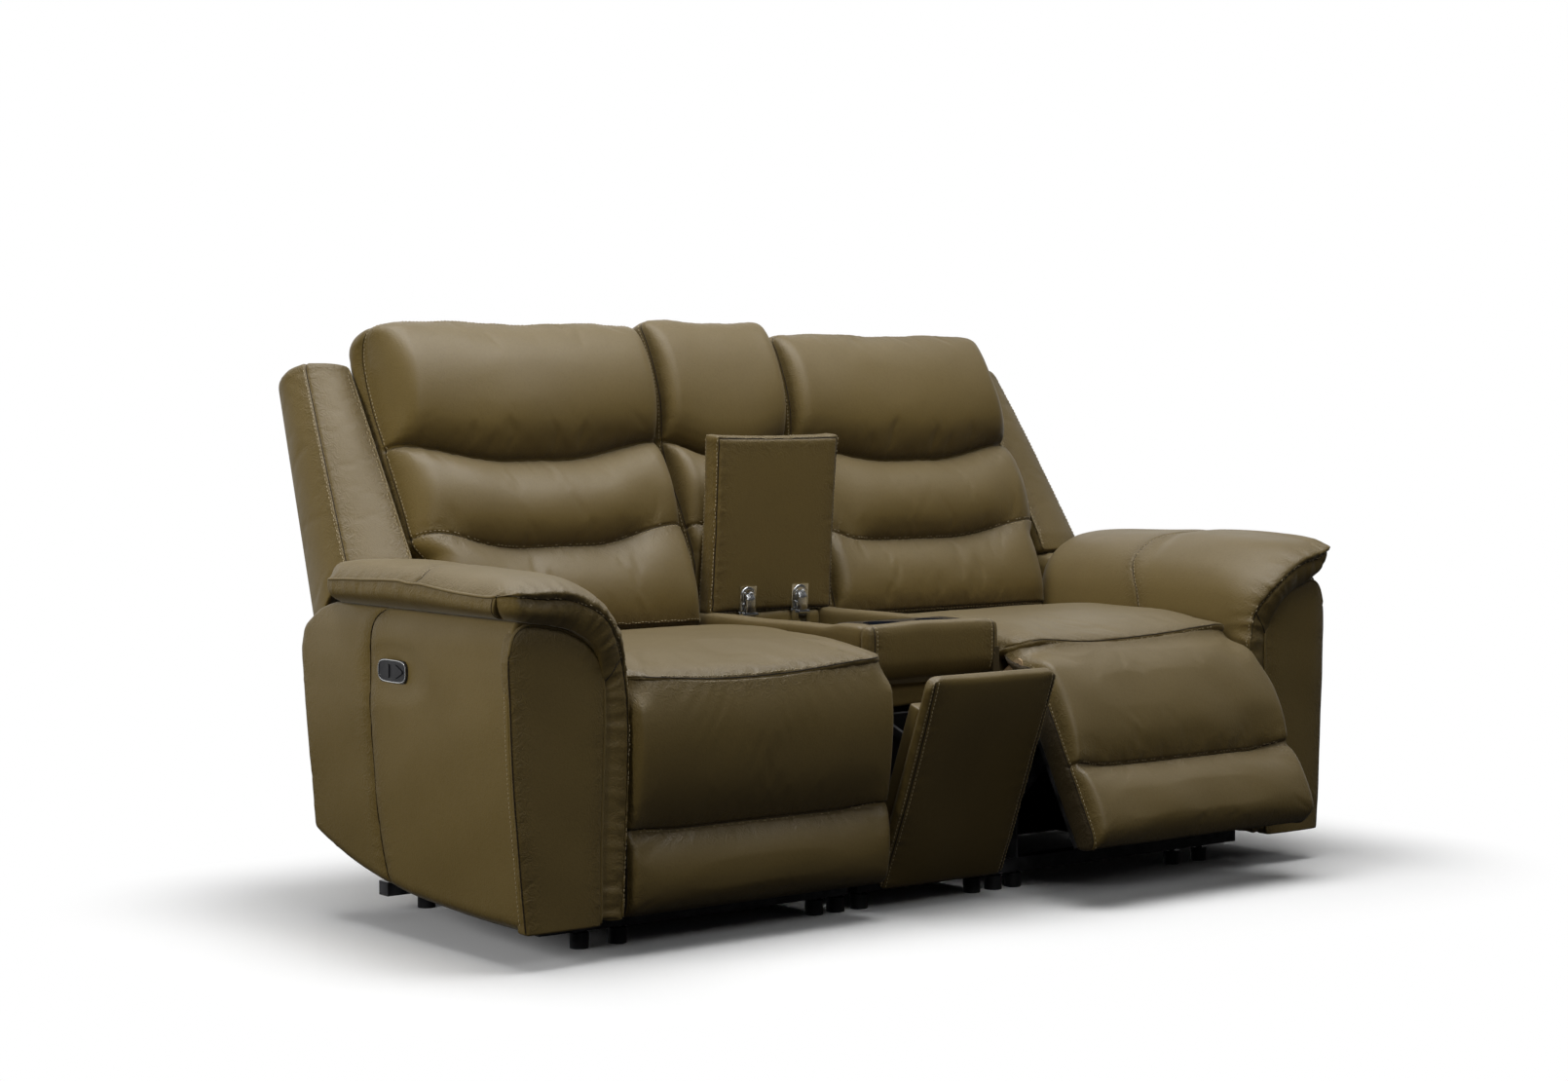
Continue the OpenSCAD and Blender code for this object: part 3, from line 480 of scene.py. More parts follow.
view = {"place": (-3.3744, -4.1430, 0.9066), "down": 0.0496, "turned": -0.6666, "lens": 65.88, "film": 36}
lens = bpy.data.cameras.new("camera")
lens.lens, lens.sensor_width = view["lens"], view["film"]
lens.clip_start, lens.clip_end = 0.05, 100
camera = bpy.data.objects.new("camera", lens)
camera.location = view["place"]
camera.rotation_euler = (math.pi / 2 - view["down"], 0, view["turned"])
scene.collection.objects.link(camera)
scene.camera = camera
scene.view_settings.view_transform = "Standard"

studio = {
    # name: (place, aims at, width, depth, watts)
    "overhead": ((-0.2, -0.3, 3.1), (0.0, -0.1, 0.3), 3.4, 1.9, 99),
    "left": ((-2.6, -0.2, 0.80), (-0.9, 0.05, 0.5), 1.4, 0.7, 20),
    "front": ((-0.8, -3.9, 2.6), (0.0, 0.0, 0.4), 2.6, 1.2, 24),
    "rear": ((1.6, 4.2, 2.6), (0.0, 0.0, 0.5), 2.8, 1.6, 18),
}
for name, (place, aim, width, depth, watts) in studio.items():
    lamp = bpy.data.lights.new(name, "AREA")
    lamp.shape, lamp.size, lamp.size_y, lamp.energy = "RECTANGLE", width, depth, watts
    holder = bpy.data.objects.new(name, lamp)
    holder.location = place
    holder.rotation_euler = (Vector(aim) - Vector(place)).to_track_quat("-Z", "Y").to_euler()
    holder.visible_camera = False
    holder.visible_glossy = name != "left"      # a soft fill, with no streak on the leather
    scene.collection.objects.link(holder)


class Nodes:
    # fills a node tree; every input takes a socket to link or a plain value
    def __init__(self, tree):
        self.tree = tree

    def feed(self, socket, value):
        if isinstance(value, bpy.types.NodeSocket):
            self.tree.links.new(value, socket)
        else:
            socket.default_value = value

    def add(self, kind, inputs=None, **settings):
        made = self.tree.nodes.new("ShaderNode" + kind)
        for key, value in settings.items():
            setattr(made, key, value)
        for key, value in (inputs or {}).items():
            self.feed(made.inputs[key], value)
        return made

    def where(self):
        return self.add("TexCoord").outputs["Object"]

    def math(self, operation, a, b=0.0, clamp=False):
        return self.add("Math", {0: a, 1: b}, operation=operation, use_clamp=clamp).outputs[0]

    def times(self, a, b):
        return self.math("MULTIPLY", a, b)

    def range(self, value, low, high, toLow=0.0, toHigh=1.0, **settings):
        ends = {"Value": value, "From Min": low, "From Max": high, "To Min": toLow, "To Max": toHigh}
        return self.add("MapRange", ends, **settings).outputs["Result"]

    def mix(self, share, a, b, blend="MIX"):
        return self.add("Mix", {0: share, 6: a, 7: b}, data_type="RGBA", blend_type=blend).outputs[2]

    def noise(self, where, scale, detail=2.0, **more):
        return self.add("TexNoise", {"Vector": where, "Scale": scale, "Detail": detail, **more}).outputs[0]

    def bump(self, height, strength, distance, **more):
        return self.add("Bump", {"Height": height, "Strength": strength, "Distance": distance,
                                 **more}).outputs[0]

    def group(self, tree, **values):
        return self.add("Group", {key.replace("_", " "): value for key, value in values.items()},
                        node_tree=tree).outputs


def newGroup(name, inputs, outputs):
    tree = bpy.data.node_groups.new(name, "ShaderNodeTree")
    for label, kind, value in inputs:
        tree.interface.new_socket(label, in_out="INPUT",
                                  socket_type="NodeSocket" + kind).default_value = value
    for label, kind in outputs:
        tree.interface.new_socket(label, in_out="OUTPUT", socket_type="NodeSocket" + kind)
    given, out = tree.nodes.new("NodeGroupInput").outputs, tree.nodes.new("NodeGroupOutput").inputs
    return tree, Nodes(tree), given, out


# shared effects

def makeGrainGroup():
    # pebbles and pores of finished hide
    tree, n, given, out = newGroup("hideGrain", [("Grain Size", "Float", 0.0016)],
                                   [("Height", "Float"), ("Pores", "Float")])
    where = n.where()
    scale = n.math("DIVIDE", 1.0, given["Grain Size"])
    warp = n.add("TexNoise", {"Vector": where, "Scale": 160.0, "Detail": 2.0}).outputs["Color"]
    bent = n.mix(0.0016, where, warp, "ADD")
    pebble = n.add("TexVoronoi", {"Vector": bent, "Scale": scale}, feature="SMOOTH_F1").outputs["Distance"]
    fine = n.noise(where, n.times(scale, 2.3), 3.0)
    domed = n.range(pebble, 0.1, 0.75, 1.0, 0.0)
    n.feed(out["Height"], n.math("ADD", n.times(domed, 0.7), n.times(fine, 0.4)))
    n.feed(out["Pores"], n.range(pebble, 0.5, 0.85))
    return tree


def makeFoldGroup():
    # fine wrinkles, strongest beside the seams
    tree, n, given, out = newGroup("smallFolds", [("Near Seam", "Float", 0.0)], [("Height", "Float")])
    where = n.where()
    broad = n.noise(where, 15.0, 3.0, Roughness=0.55, Distortion=0.8)
    lines = n.noise(where, 62.0, 2.0, Distortion=1.6)
    ridge = n.range(n.math("ABSOLUTE", n.math("SUBTRACT", lines, 0.5)), 0.0, 0.16)
    share = n.math("ADD", n.times(given["Near Seam"], 0.55), 0.08)
    n.feed(out["Height"], n.math("ADD", n.times(ridge, share), n.times(broad, 0.4)))
    return tree


def makeToneAndShadeGroup():
    # the dye is never quite even: cloudy and a little darker in the pores; painted shade makes it darker beside the
    # seams, on upright faces and on faces turned down
    tree, n, given, out = newGroup(
        "hideToneAndShade", [("Dye", "Color", (0.2, 0.15, 0.08, 1)), ("Rich", "Color", (0.15, 0.1, 0.02, 1)),
                     ("Deep", "Color", (0.05, 0.03, 0.01, 1)), ("Pores", "Float", 0.0),
                     ("Near Seam", "Float", 0.0), ("UnderShade", "Float", 0.7)],
        [("Color", "Color"), ("Patches", "Float")])
    where = n.where()
    cloud = n.noise(where, 5.0, 4.0, Roughness=0.6)
    speck = n.noise(where, 240.0)
    facing = n.add("SeparateXYZ", {0: n.add("NewGeometry").outputs["Normal"]}).outputs["Z"]
    # painted shade: upright faces, which get less of the light from above, take the richer, darker colour
    tone = n.mix(n.range(facing, 0.75, 0.0, 0.0, 0.8), given["Dye"], given["Rich"])
    # cloud, speck and pores darken the dye at random; nearness to a seam and faces turned down darken it as painted
    # shade
    for share in (n.range(cloud, 0.35, 0.7, 0.0, 0.13), n.range(speck, 0.45, 0.75, 0.0, 0.12),
                  n.times(given["Pores"], 0.2), n.times(n.math("POWER", given["Near Seam"], 2.2), 0.22),
                  n.times(n.range(facing, 0.0, -0.55), given["UnderShade"])):
        tone = n.mix(share, tone, given["Deep"])
    n.feed(out["Color"], tone)
    n.feed(out["Patches"], cloud)
    return tree


def makeRubGroup():
    # where edges and high spots are touched and rubbed
    tree, n, given, out = newGroup("rubbedEdges", [("From", "Float", 0.52), ("To", "Float", 0.62)],
                                   [("Rub", "Float")])
    point = n.add("NewGeometry").outputs["Pointiness"]
    uneven = n.noise(n.where(), 34.0, 3.0)
    edge = n.range(point, given["From"], given["To"])
    n.feed(out["Rub"], n.math("MULTIPLY", edge, n.range(uneven, 0.35, 0.7), clamp=True))
    return tree


def makeDustGroup():
    # fine dust and handling marks on hard pieces
    tree, n, given, out = newGroup("handled", [("Amount", "Float", 0.5)],
                                   [("Marks", "Float"), ("Height", "Float")])
    where = n.where()
    patch = n.noise(where, 22.0, 5.0, Roughness=0.7)
    n.feed(out["Marks"], n.times(n.range(patch, 0.4, 0.75), given["Amount"]))
    n.feed(out["Height"], n.noise(where, 900.0))
    return tree


hideGrain, smallFolds, hideToneAndShade = makeGrainGroup(), makeFoldGroup(), makeToneAndShadeGroup()
rubbedEdges, handled = makeRubGroup(), makeDustGroup()


# materials

def newMaterial(name, **values):
    material = bpy.data.materials.new(name)
    material.use_nodes = True
    inputs = material.node_tree.nodes["Principled BSDF"].inputs
    for key, value in values.items():
        inputs[key.replace("_", " ")].default_value = value
    return material, Nodes(material.node_tree), inputs


def lighter(colour, factor, lift=0.0):
    return tuple(min(1, c * factor + lift) for c in colour[:3]) + (1,)


def leather(name, dye, uprightShade, deep, rough=0.5):
    material, n, shader = newMaterial(name, Specular_IOR_Level=0.5, Sheen_Weight=0.12, Sheen_Roughness=0.45,
                                      Sheen_Tint=(0.85, 0.8, 0.68, 1))
    near = n.add("Attribute", attribute_name="seamNear").outputs["Fac"]
    pebbles = n.group(hideGrain, Grain_Size=0.0016)
    # uprightShade is painted on upright faces as shade; deep darkens the cloudy dye and is painted as shade beside the
    # seams and on faces turned down
    tone = n.group(hideToneAndShade, Dye=dye, Rich=uprightShade, Deep=deep, Pores=pebbles["Pores"], Near_Seam=near)
    rub = n.group(rubbedEdges)["Rub"]
    folds = n.group(smallFolds, Near_Seam=near)
    n.feed(shader["Base Color"], n.mix(n.times(rub, 0.22), tone["Color"], lighter(dye, 1.5)))
    gloss = n.range(tone["Patches"], 0.3, 0.7, rough - 0.05, rough + 0.05)
    n.feed(shader["Roughness"], n.math("SUBTRACT", gloss, n.times(rub, 0.08)))
    first = n.bump(folds["Height"], 0.35, 0.0025)
    n.feed(shader["Normal"], n.bump(pebbles["Height"], 0.3, 0.0004, Normal=first))
    return material


def hardFinish(name, colour, rough, rubbed, marks, bump=0.1, metallic=0.0, coat=0.0):
    material, n, shader = newMaterial(name, Metallic=metallic, Coat_Weight=coat, Coat_Roughness=0.15)
    wear = n.group(rubbedEdges, From=0.53, To=0.6)["Rub"]
    touch = n.group(handled, Amount=marks)
    tone = n.mix(n.times(touch["Marks"], 0.25), colour, lighter(colour, 1.6, 0.02))
    n.feed(shader["Base Color"], n.mix(n.times(wear, 0.4), tone, rubbed))
    n.feed(shader["Roughness"], n.range(touch["Marks"], 0.0, 1.0, rough, min(1, rough + 0.25)))
    n.feed(shader["Normal"], n.bump(touch["Height"], bump, 0.0003))
    return material


def plywoodFinish():
    material, n, shader = newMaterial("plywood", Roughness=0.7)
    stretched = n.add("Mapping", {"Vector": n.where(), "Scale": (3.0, 60.0, 60.0)}).outputs[0]
    rings = n.noise(stretched, 2.0, 6.0, Distortion=1.2)
    n.feed(shader["Base Color"], n.mix(n.range(rings, 0.35, 0.7), (0.56, 0.41, 0.24, 1),
                                       (0.34, 0.22, 0.11, 1)))
    n.feed(shader["Normal"], n.bump(rings, 0.25, 0.0006))


def wovenFinish(name, colour, dark, pitch=0.0016):
    material, n, shader = newMaterial(name, Roughness=0.85, Sheen_Weight=0.2)
    where = n.where()
    threads = {"Vector": where, "Scale": 1 / (pitch * 20), "Distortion": 0.4}
    warp, weft = (n.add("TexWave", threads, bands_direction=axis).outputs["Fac"] for axis in "XZ")
    cross = n.math("MAXIMUM", warp, weft)
    n.feed(shader["Base Color"], n.mix(n.times(cross, n.noise(where, 300.0, 3.0)), dark, colour))
    n.feed(shader["Normal"], n.bump(cross, 0.4, 0.0004))


# each leather: its dye, a richer colour painted on upright faces as shade, and a deep colour for darker dye and painted
# shade
hide = leather("oliveLeather", (0.168, 0.125, 0.056, 1), (0.166, 0.112, 0.026, 1), (0.050, 0.030, 0.004, 1))
hideDark = leather("liningAndShadeLeather", (0.060, 0.043, 0.020, 1), (0.055, 0.037, 0.010, 1),
                   (0.02, 0.012, 0.005, 1), 0.6)
seamShade = hardFinish("seamShade", (0.022, 0.014, 0.006, 1), 0.8, (0.3, 0.3, 0.3, 1), 0.1)
thread = hardFinish("thread", (0.36, 0.29, 0.17, 1), 0.55, (0.3, 0.25, 0.16, 1), 0.2, 0.3)
chrome = hardFinish("chrome", (0.86, 0.87, 0.88, 1), 0.24, (0.9, 0.9, 0.9, 1), 0.15, 0.02, 1.0)
hardFinish("blackSteel", (0.011, 0.011, 0.012, 1), 0.38, (0.16, 0.16, 0.17, 1), 0.7, 0.16)
hardFinish("zincBolt", (0.42, 0.42, 0.43, 1), 0.32, (0.7, 0.7, 0.7, 1), 0.5, 0.1, 1.0)
hardFinish("blackPlastic", (0.014, 0.014, 0.016, 1), 0.42, (0.05, 0.05, 0.05, 1), 0.4, 0.25)
hardFinish("trayPlastic", (0.016, 0.021, 0.034, 1), 0.2, (0.06, 0.07, 0.09, 1), 0.2, 0.06, 0.0, 0.3)
plywoodFinish()
wovenFinish("elasticWebbing", (0.05, 0.05, 0.05, 1), (0.012, 0.012, 0.012, 1))


floorForm = {"radius": 3.4, "sides": 96, "beside": (0.80, 0.30, 0.0), "clearFrom": 0.20, "clearTo": 0.62,
             "bounce": 0.05}


def floorFinish():
    # white to the camera with the sofa's shadow near it, plain white further out; darker to light that bounces up
    material, n, shader = newMaterial("studioFloor", Roughness=1.0, Specular_IOR_Level=0.0,
                                      Emission_Strength=1.0)
    path = n.add("LightPath").outputs
    seen = n.math("MAXIMUM", path["Is Camera Ray"], path["Is Transmission Ray"])
    past = n.add("VectorMath", {0: n.where()}, operation="ABSOLUTE").outputs[0]
    for operation, other in (("SUBTRACT", floorForm["beside"]), ("MAXIMUM", (0, 0, 0))):
        past = n.add("VectorMath", {0: past, 1: other}, operation=operation).outputs[0]
    away = n.add("VectorMath", {0: past}, operation="LENGTH").outputs["Value"]
    clear = n.range(away, floorForm["clearFrom"], floorForm["clearTo"], interpolation_type="SMOOTHSTEP")
    clear = n.times(clear, seen)
    black, white = (0, 0, 0, 1), (1, 1, 1, 1)
    lit = n.mix(seen, (floorForm["bounce"],) * 3 + (1,), white)
    n.feed(shader["Base Color"], n.mix(clear, lit, black))
    n.feed(shader["Emission Color"], n.mix(clear, black, white))
    return material


def makeWorld(ambient):
    # plain white to the camera; dim to the sofa, but bright behind it, as a white backdrop mirrors in the leather
    world = bpy.data.worlds.new("studio")
    world.use_nodes = True
    scene.world = world
    n, back = Nodes(world.node_tree), world.node_tree.nodes["Background"].inputs
    path = n.add("LightPath").outputs
    toward = n.add("SeparateXYZ", {0: n.add("TexCoord").outputs["Generated"]}).outputs
    paper = n.range(n.math("ADD", toward["Y"], n.times(toward["X"], 0.35)), -0.1, 0.8, 0.03, 0.8)
    seen = n.math("MAXIMUM", path["Is Camera Ray"], path["Is Transmission Ray"])
    seen = n.math("MAXIMUM", seen, n.times(path["Is Glossy Ray"], paper))
    n.feed(back["Strength"], n.math("MAXIMUM", seen, ambient))
    back["Color"].default_value = (1, 1, 1, 1)


around = circle(floorForm["sides"]) * floorForm["radius"]
newPiece("floor", [(x, y, 0) for x, y in around], [range(len(around))], floorFinish())
makeWorld(0.035)
print("studio and finishes made")


# places of the leaning backs, the footrests, the lid and the door

lean = math.radians(22.3)
backFoot = (0.585, 0.494)       # where the lean is measured from, from the front of the arms
openRight = math.radians(28)
openLid = math.radians(86)
openDoor = math.radians(21)
lidPin, doorPin = (0.544, 0.495), (0.098, 0.066)
sides = (("left", -1), ("right", 1))


def onBack(x, t, n):
    # sideways, up along a back, and out behind its front plane
    x, t, n = np.broadcast_arrays(x, t, n)
    return np.stack([x, backFoot[0] + n * math.cos(lean) + t * math.sin(lean),
                     backFoot[1] - n * math.sin(lean) + t * math.cos(lean)], -1)


def swung(points, angle, y, z):
    # turned about a cross pin: the top comes forward as the angle grows
    points = np.array(points, float)
    dy, dz = points[..., 1] - y, points[..., 2] - z
    c, s = np.cos(angle), np.sin(angle)
    points[..., 1] = y + dy * c + dz * s
    points[..., 2] = z - dy * s + dz * c
    return points


# back cushions: a flat panel below, a lumbar roll, and a full head roll

backForm = {
    "low": -0.020, "length": 0.587, "shift": 0.0, "depth": 0.060, "corner": 0.025, "edge": (0.034, 0.052),
    "columns": 84, "rows": (26, 25, 38), "inside": 0.2835, "outside": 0.2785, "wider": 0.021, "drawn": 0.022,
    "seamMiddle": 0.141, "seamEnds": 0.172, "creaseMiddle": 0.316, "creaseEnds": 0.352,
    "pressure": 3.0, "spare": 0.004, "most": 0.006,
    "deep": ((0.48, 0.80), (0.48, 0.80), (0.62, 0.86)),       # where each crease runs out
    # how far the side seams stand before the back's plane: towards the console, and outside
    "insideSeam": [(-.02, .018), (.14, .022), (.2, .018), (.31, .006), (.35, .010), (.42, .034), (.5, .040),
                   (.56, .034),
                   (.59, .026)],
    "outsideSeam": [(-.02, .012), (.14, .008), (.234, 0), (.306, -.012), (.368, -.019), (.43, -.029),
                    (.49, -.030),
                    (.541, -.022), (.572, -.002), (.59, .010)],
    "below": (0.021, 0.0055, 0.045, 0.0014, 0.18), "above": (0.03, 0.006, 0.03, 0.0008, 0.2),
    "atSeam": (0.030, 0.006, 0.030, 0.0009, 0.2), "atRim": (0.016, 0.0042, 0.016, 0.0008, 0.25),
}
backLevels = (
    # heights over the plane from seam to seam, in the deep middle and at the ends: lower panel, lumbar roll, head roll
    ([(0, .030), (.2, .051), (.45, .057), (.68, .053), (.85, .045), (.95, .037), (1, .029)],
     [(0, .030), (.2, .050), (.47, .058), (.8, .054), (1, .044)]),
    ([(0, .027), (.03, .037), (.1, .049), (.22, .0605), (.36, .0665), (.5, .067), (.66, .0615), (.8, .051),
      (.92, .034),
      (1, .012)],
     [(0, .044), (.2, .054), (.45, .060), (.62, .057), (.8, .048), (.92, .033), (1, .012)]),
    ([(0, .012), (.03, .030), (.08, .044), (.16, .057), (.28, .068), (.42, .0745), (.55, .076), (.68, .0735),
      (.78, .068),
      (.87, .059), (.94, .048), (.98, .037), (1, .027)],) * 2,
)


def backSheet(form, left, right, seed):
    # left and right give the edges at a height; returns the sheet and the rows of its two seams
    u, shift = np.linspace(-1, 1, form["columns"] + 1), form["shift"]
    rise = ease(0.25, 0.95, np.abs(u))
    if shift:
        rise = np.where(u < 0, 0.7 * ease(0.70, 1.0, -u), ease(0.15, 1.05, u))
    seam = form["seamMiddle"] + (form["seamEnds"] - form["seamMiddle"]) * rise + shift
    crease = form["creaseMiddle"] + (form["creaseEnds"] - form["creaseMiddle"]) * ease(0.2, 1.05, np.abs(u)) + shift
    top = form["length"] + shift
    marks = [np.full_like(u, form["low"]), seam, crease, np.full_like(u, top)]
    up, high = [], []
    for part, (count, (middle, ends)) in enumerate(zip(form["rows"], backLevels)):
        valley = 1 - ease(*form["deep"][part], np.abs(u))
        for s in spread(count, 0.1)[(1 if part else 0):]:
            up.append(marks[part] + s * (marks[part + 1] - marks[part]))
            high.append(valley * spline(middle, s) + (1 - valley) * spline(ends, s))
    t, height = np.array(up), np.array(high)
    edge = form["corner"] * (1 - roundOff(top - t, form["corner"]))
    xl, xr = left(t) + edge, right(t) - edge
    x = xl + (xr - xl) * (u + 1) / 2
    for key, near, wide in (("insideSeam", x - xl, form["edge"][0]),
                            ("outsideSeam", xr - x, form["edge"][1])):
        atSeam = spline(form[key], t - shift * ease(0, 0.3, t))
        height = atSeam + (height - atSeam) * roundOff(near, wide)
    fade = np.clip(np.minimum(x - xl, xr - x) / 0.06, 0, 1) * np.clip((top - t) / 0.05, 0, 1)
    height += flatWaves(x, t, seed, 0.2, 0.0016) * fade
    # the top edge is never dead straight
    t = t + (0.0030 * np.sin(x * 23 + seed) + 0.001 * np.sin(x * 61)) * np.clip((t - 0.5) / 0.1, 0, 1)
    return x, t, height, form["rows"][0], form["rows"][0] + form["rows"][1]


def makeBack(name, form, front, back, seamRow, creaseRow, side, seed, rings, bulge, cloth=None):
    shape = padShape(front, back, rings=rings, bulge=bulge)
    grid, rim = shape["grid"], shape["rim"]
    held = [(shape["back"], 1), (shape["loop"], 1), (grid[creaseRow], 1), (grid[seamRow], 0.9), (grid[0], 1)]
    piece = softBody(name, shape, side, [(rim, 0.75), (grid[creaseRow], 0.6), (grid[seamRow], 0.55)], held,
                     cloth)
    seamLine, creaseLine = seamAt(piece, grid[seamRow]), seamAt(piece, grid[creaseRow], margin=0.13)
    rimLine = seamAt(piece, rim)
    order = np.argsort(creaseLine.line[:, 0])
    across, _, level = creaseLine.line[order].T

    def over(points, lift=0.0):
        return points[:, 2] - np.interp(points[:, 0], across, level) - lift

    pucker(piece, creaseLine, form["below"], seed, only=lambda p: over(p, 0.004) < 0)
    pucker(piece, creaseLine, form["above"], seed + 1, only=lambda p: over(p) > 0)
    pucker(piece, seamLine, form["atSeam"], seed + 2)
    pucker(piece, rimLine, form["atRim"], seed + 3)
    groove(piece, creaseLine, 0.006, 0.009)
    groove(piece, seamLine, 0.0035, 0.006)
    groove(piece, rimLine, 0.0030, 0.006)
    markSeams(piece, [seamLine, creaseLine, rimLine])
    cross, edge = lineOf(piece, grid[seamRow]), lineOf(piece, rim)
    return [piece] + sewn(name, piece, [(cross[1:-1], 0.0055, -0.0055), (edge[:-1], 0.006)], [cross, edge])


def makeBackCushion(word, side, seed, shift):
    form = dict(backForm, shift=shift)
    drawn = form["drawn"] if side > 0 else 0.0       # the right one is drawn in at its upper outer corner
    x, t, height, seamRow, creaseRow = backSheet(
        form, lambda t: np.full_like(t, -form["inside"]),
        lambda t: form["outside"] + form["wider"] * ease(0.12, 0.16, t) - drawn * ease(0.33, 0.50, t), seed)
    behind = form["low"] + (t - form["low"]) * 0.98
    back = onBack(seatX + x * 0.99, behind, form["depth"] + 0.010 * ease(0.3, 0.55, t))
    pieces = makeBack(word + "_back_pillow", form, onBack(seatX + x, t, -height), back, seamRow, creaseRow,
                      side, seed,
                      6, lambda a: 0.003 + 0.007 * ease(0.85, 0.98, a[:, 2]), form)
    fit(pieces, word + "_back")
    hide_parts(word + "_back_cushion")


def lidClearance(t):
    # how far back the middle pillow has to stay so that the lid has room
    ahead = lidPin[0] - backFoot[0] + 0.006 + 0.054 / math.sin(openLid) - t * math.sin(lean)
    above = (backFoot[1] + t * math.cos(lean) - lidPin[1]) / math.tan(openLid)
    return (ahead - above) / (math.cos(lean) - math.sin(lean) / math.tan(openLid))


def makeCenterBack(seed, half=0.1495):
    form = dict(backForm, columns=42, corner=0.022, edge=(0.030, 0.030), length=0.597)
    form["outsideSeam"] = form["insideSeam"]
    x, t, height, seamRow, creaseRow = backSheet(
        form, lambda t: np.full_like(t, -half), lambda t: np.full_like(t, half), seed)
    front = onBack(x, t, np.maximum(-height, lidClearance(t) + 0.002))
    pieces = makeBack("center_back_pillow", form, front, onBack(x, t, form["depth"] + 0.002), seamRow,
                      creaseRow, 1, seed,
                      4, 0.002)
    fit(pieces, "base")
    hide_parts("center_back_cushion")


makeBackCushion("left", -1, 5, 0.0)
makeBackCushion("right", 1, 11, -0.012)
makeCenterBack(23)
print("back cushions made")


# wings: the padded sides of the backs

wingForm = {
    "low": 0.095, "high": 0.541, "rows": 60, "columns": (12, 16), "most": 0.0025, "pressure": 3.0,
    "spare": 0.002,
    # height, then x and depth behind the back's plane
    "inner": [(.13, .7595, -.019), (.295, .7595, .011), (.526, .7595, .052)],
    "seam": [(.132, .88, 0), (.33, .862, .031), (.53, .842, .0637)],
    "rear": [(.0855, .901, .114), (.532, .866, .130)],
    "centre": (0.80, 0.075), "crowned": 0.007, "rounded": 0.012, "pipe": 0.0022,
    "atSeam": (0.018, 0.0045, 0.014, 0.0007), "atInner": (0.02, 0.005, 0.018, 0.0007),
}


def makeWing(word, side, seed):
    form = wingForm
    flat, bent = form["columns"]
    t = np.linspace(form["low"], form["high"], form["rows"] + 1)
    inner, seam, rear = (spline(form[key], t)[:, None] for key in ("inner", "seam", "rear"))
    t = t[:, None]
    columns = []
    for s in spread(flat, 0.1):
        columns.append(inner + (seam - inner) * s - (0, form["crowned"] * math.sin(math.pi * s)))
    for s in spread(bent, 0.1)[1:]:
        columns.append(seam + (rear - seam) * s + (form["rounded"] * math.sin(math.pi * s), 0))
    sheet = close = np.concatenate(columns, 1)
    onSide = np.concatenate([np.zeros(flat + 1), np.linspace(0, 1, bent)])
    inside = 1 - np.concatenate([np.linspace(0, 1, flat + 1), np.ones(bent)])
    soft = roundOff(form["high"] - t, 0.008 + 0.016 * onSide)
    narrowing = (0.90 + 0.10 * soft - 0.12 * onSide * (1 - soft))[..., None]
    sheet = form["centre"] + (sheet - form["centre"]) * narrowing
    # the upper end falls a little to the inside, the lower end is cut to pass over the arm
    fall = (0.010 * inside + (0.012 * (1 - inside) ** 3 if side > 0 else 0.0)) * ease(0.40, 0.54, t)
    share = (t - form["low"]) / (form["high"] - form["low"])
    t = t - 0.045 * ease(0.03, 0.10, sheet[..., 1]) * (1 - share) - fall
    front = onBack(sheet[..., 0], t, sheet[..., 1])
    across = np.linspace(0, 1, sheet.shape[1])[:, None]
    behind = (0.7595, 0.098) + (close[:, -1:] - (0.014 + 0.7595, 0.002 + 0.098)) * across
    shape = padShape(front, onBack(behind[..., 0], t, behind[..., 1]), rings=3, bulge=0.001)
    grid = shape["grid"]
    outer, edge = grid[:, flat], grid[:, 0]
    name = word + "_wing_pad"
    held = [(shape["back"], 1), (shape["loop"], 1), (outer, 1)]
    piece = softBody(name, shape, side, [(shape["rim"], 0.6), (outer, 0.8)], held, form)
    seamLine, innerLine, topLine = (seamAt(piece, spots) for spots in (outer, edge, grid[-1]))
    pucker(piece, seamLine, form["atSeam"], seed)
    pucker(piece, innerLine, form["atInner"], seed + 1)
    groove(piece, seamLine, 0.003, 0.006)
    markSeams(piece, [seamLine, innerLine, topLine])
    outer, edge = lineOf(piece, outer), lineOf(piece, edge)
    extra = sewn(name, piece, [(outer[2:-2], -0.0055 * side), (edge[2:-2], -0.007 * side)], [outer], [edge],
                 form["pipe"])
    fit([piece] + extra, word + "_back")
    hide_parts(word + "_wing")


makeWing("left", -1, 31)
makeWing("right", 1, 37)
print("wings made")


# arms: a stitched pad over the top and down the inside, a piped front panel, and the covered side

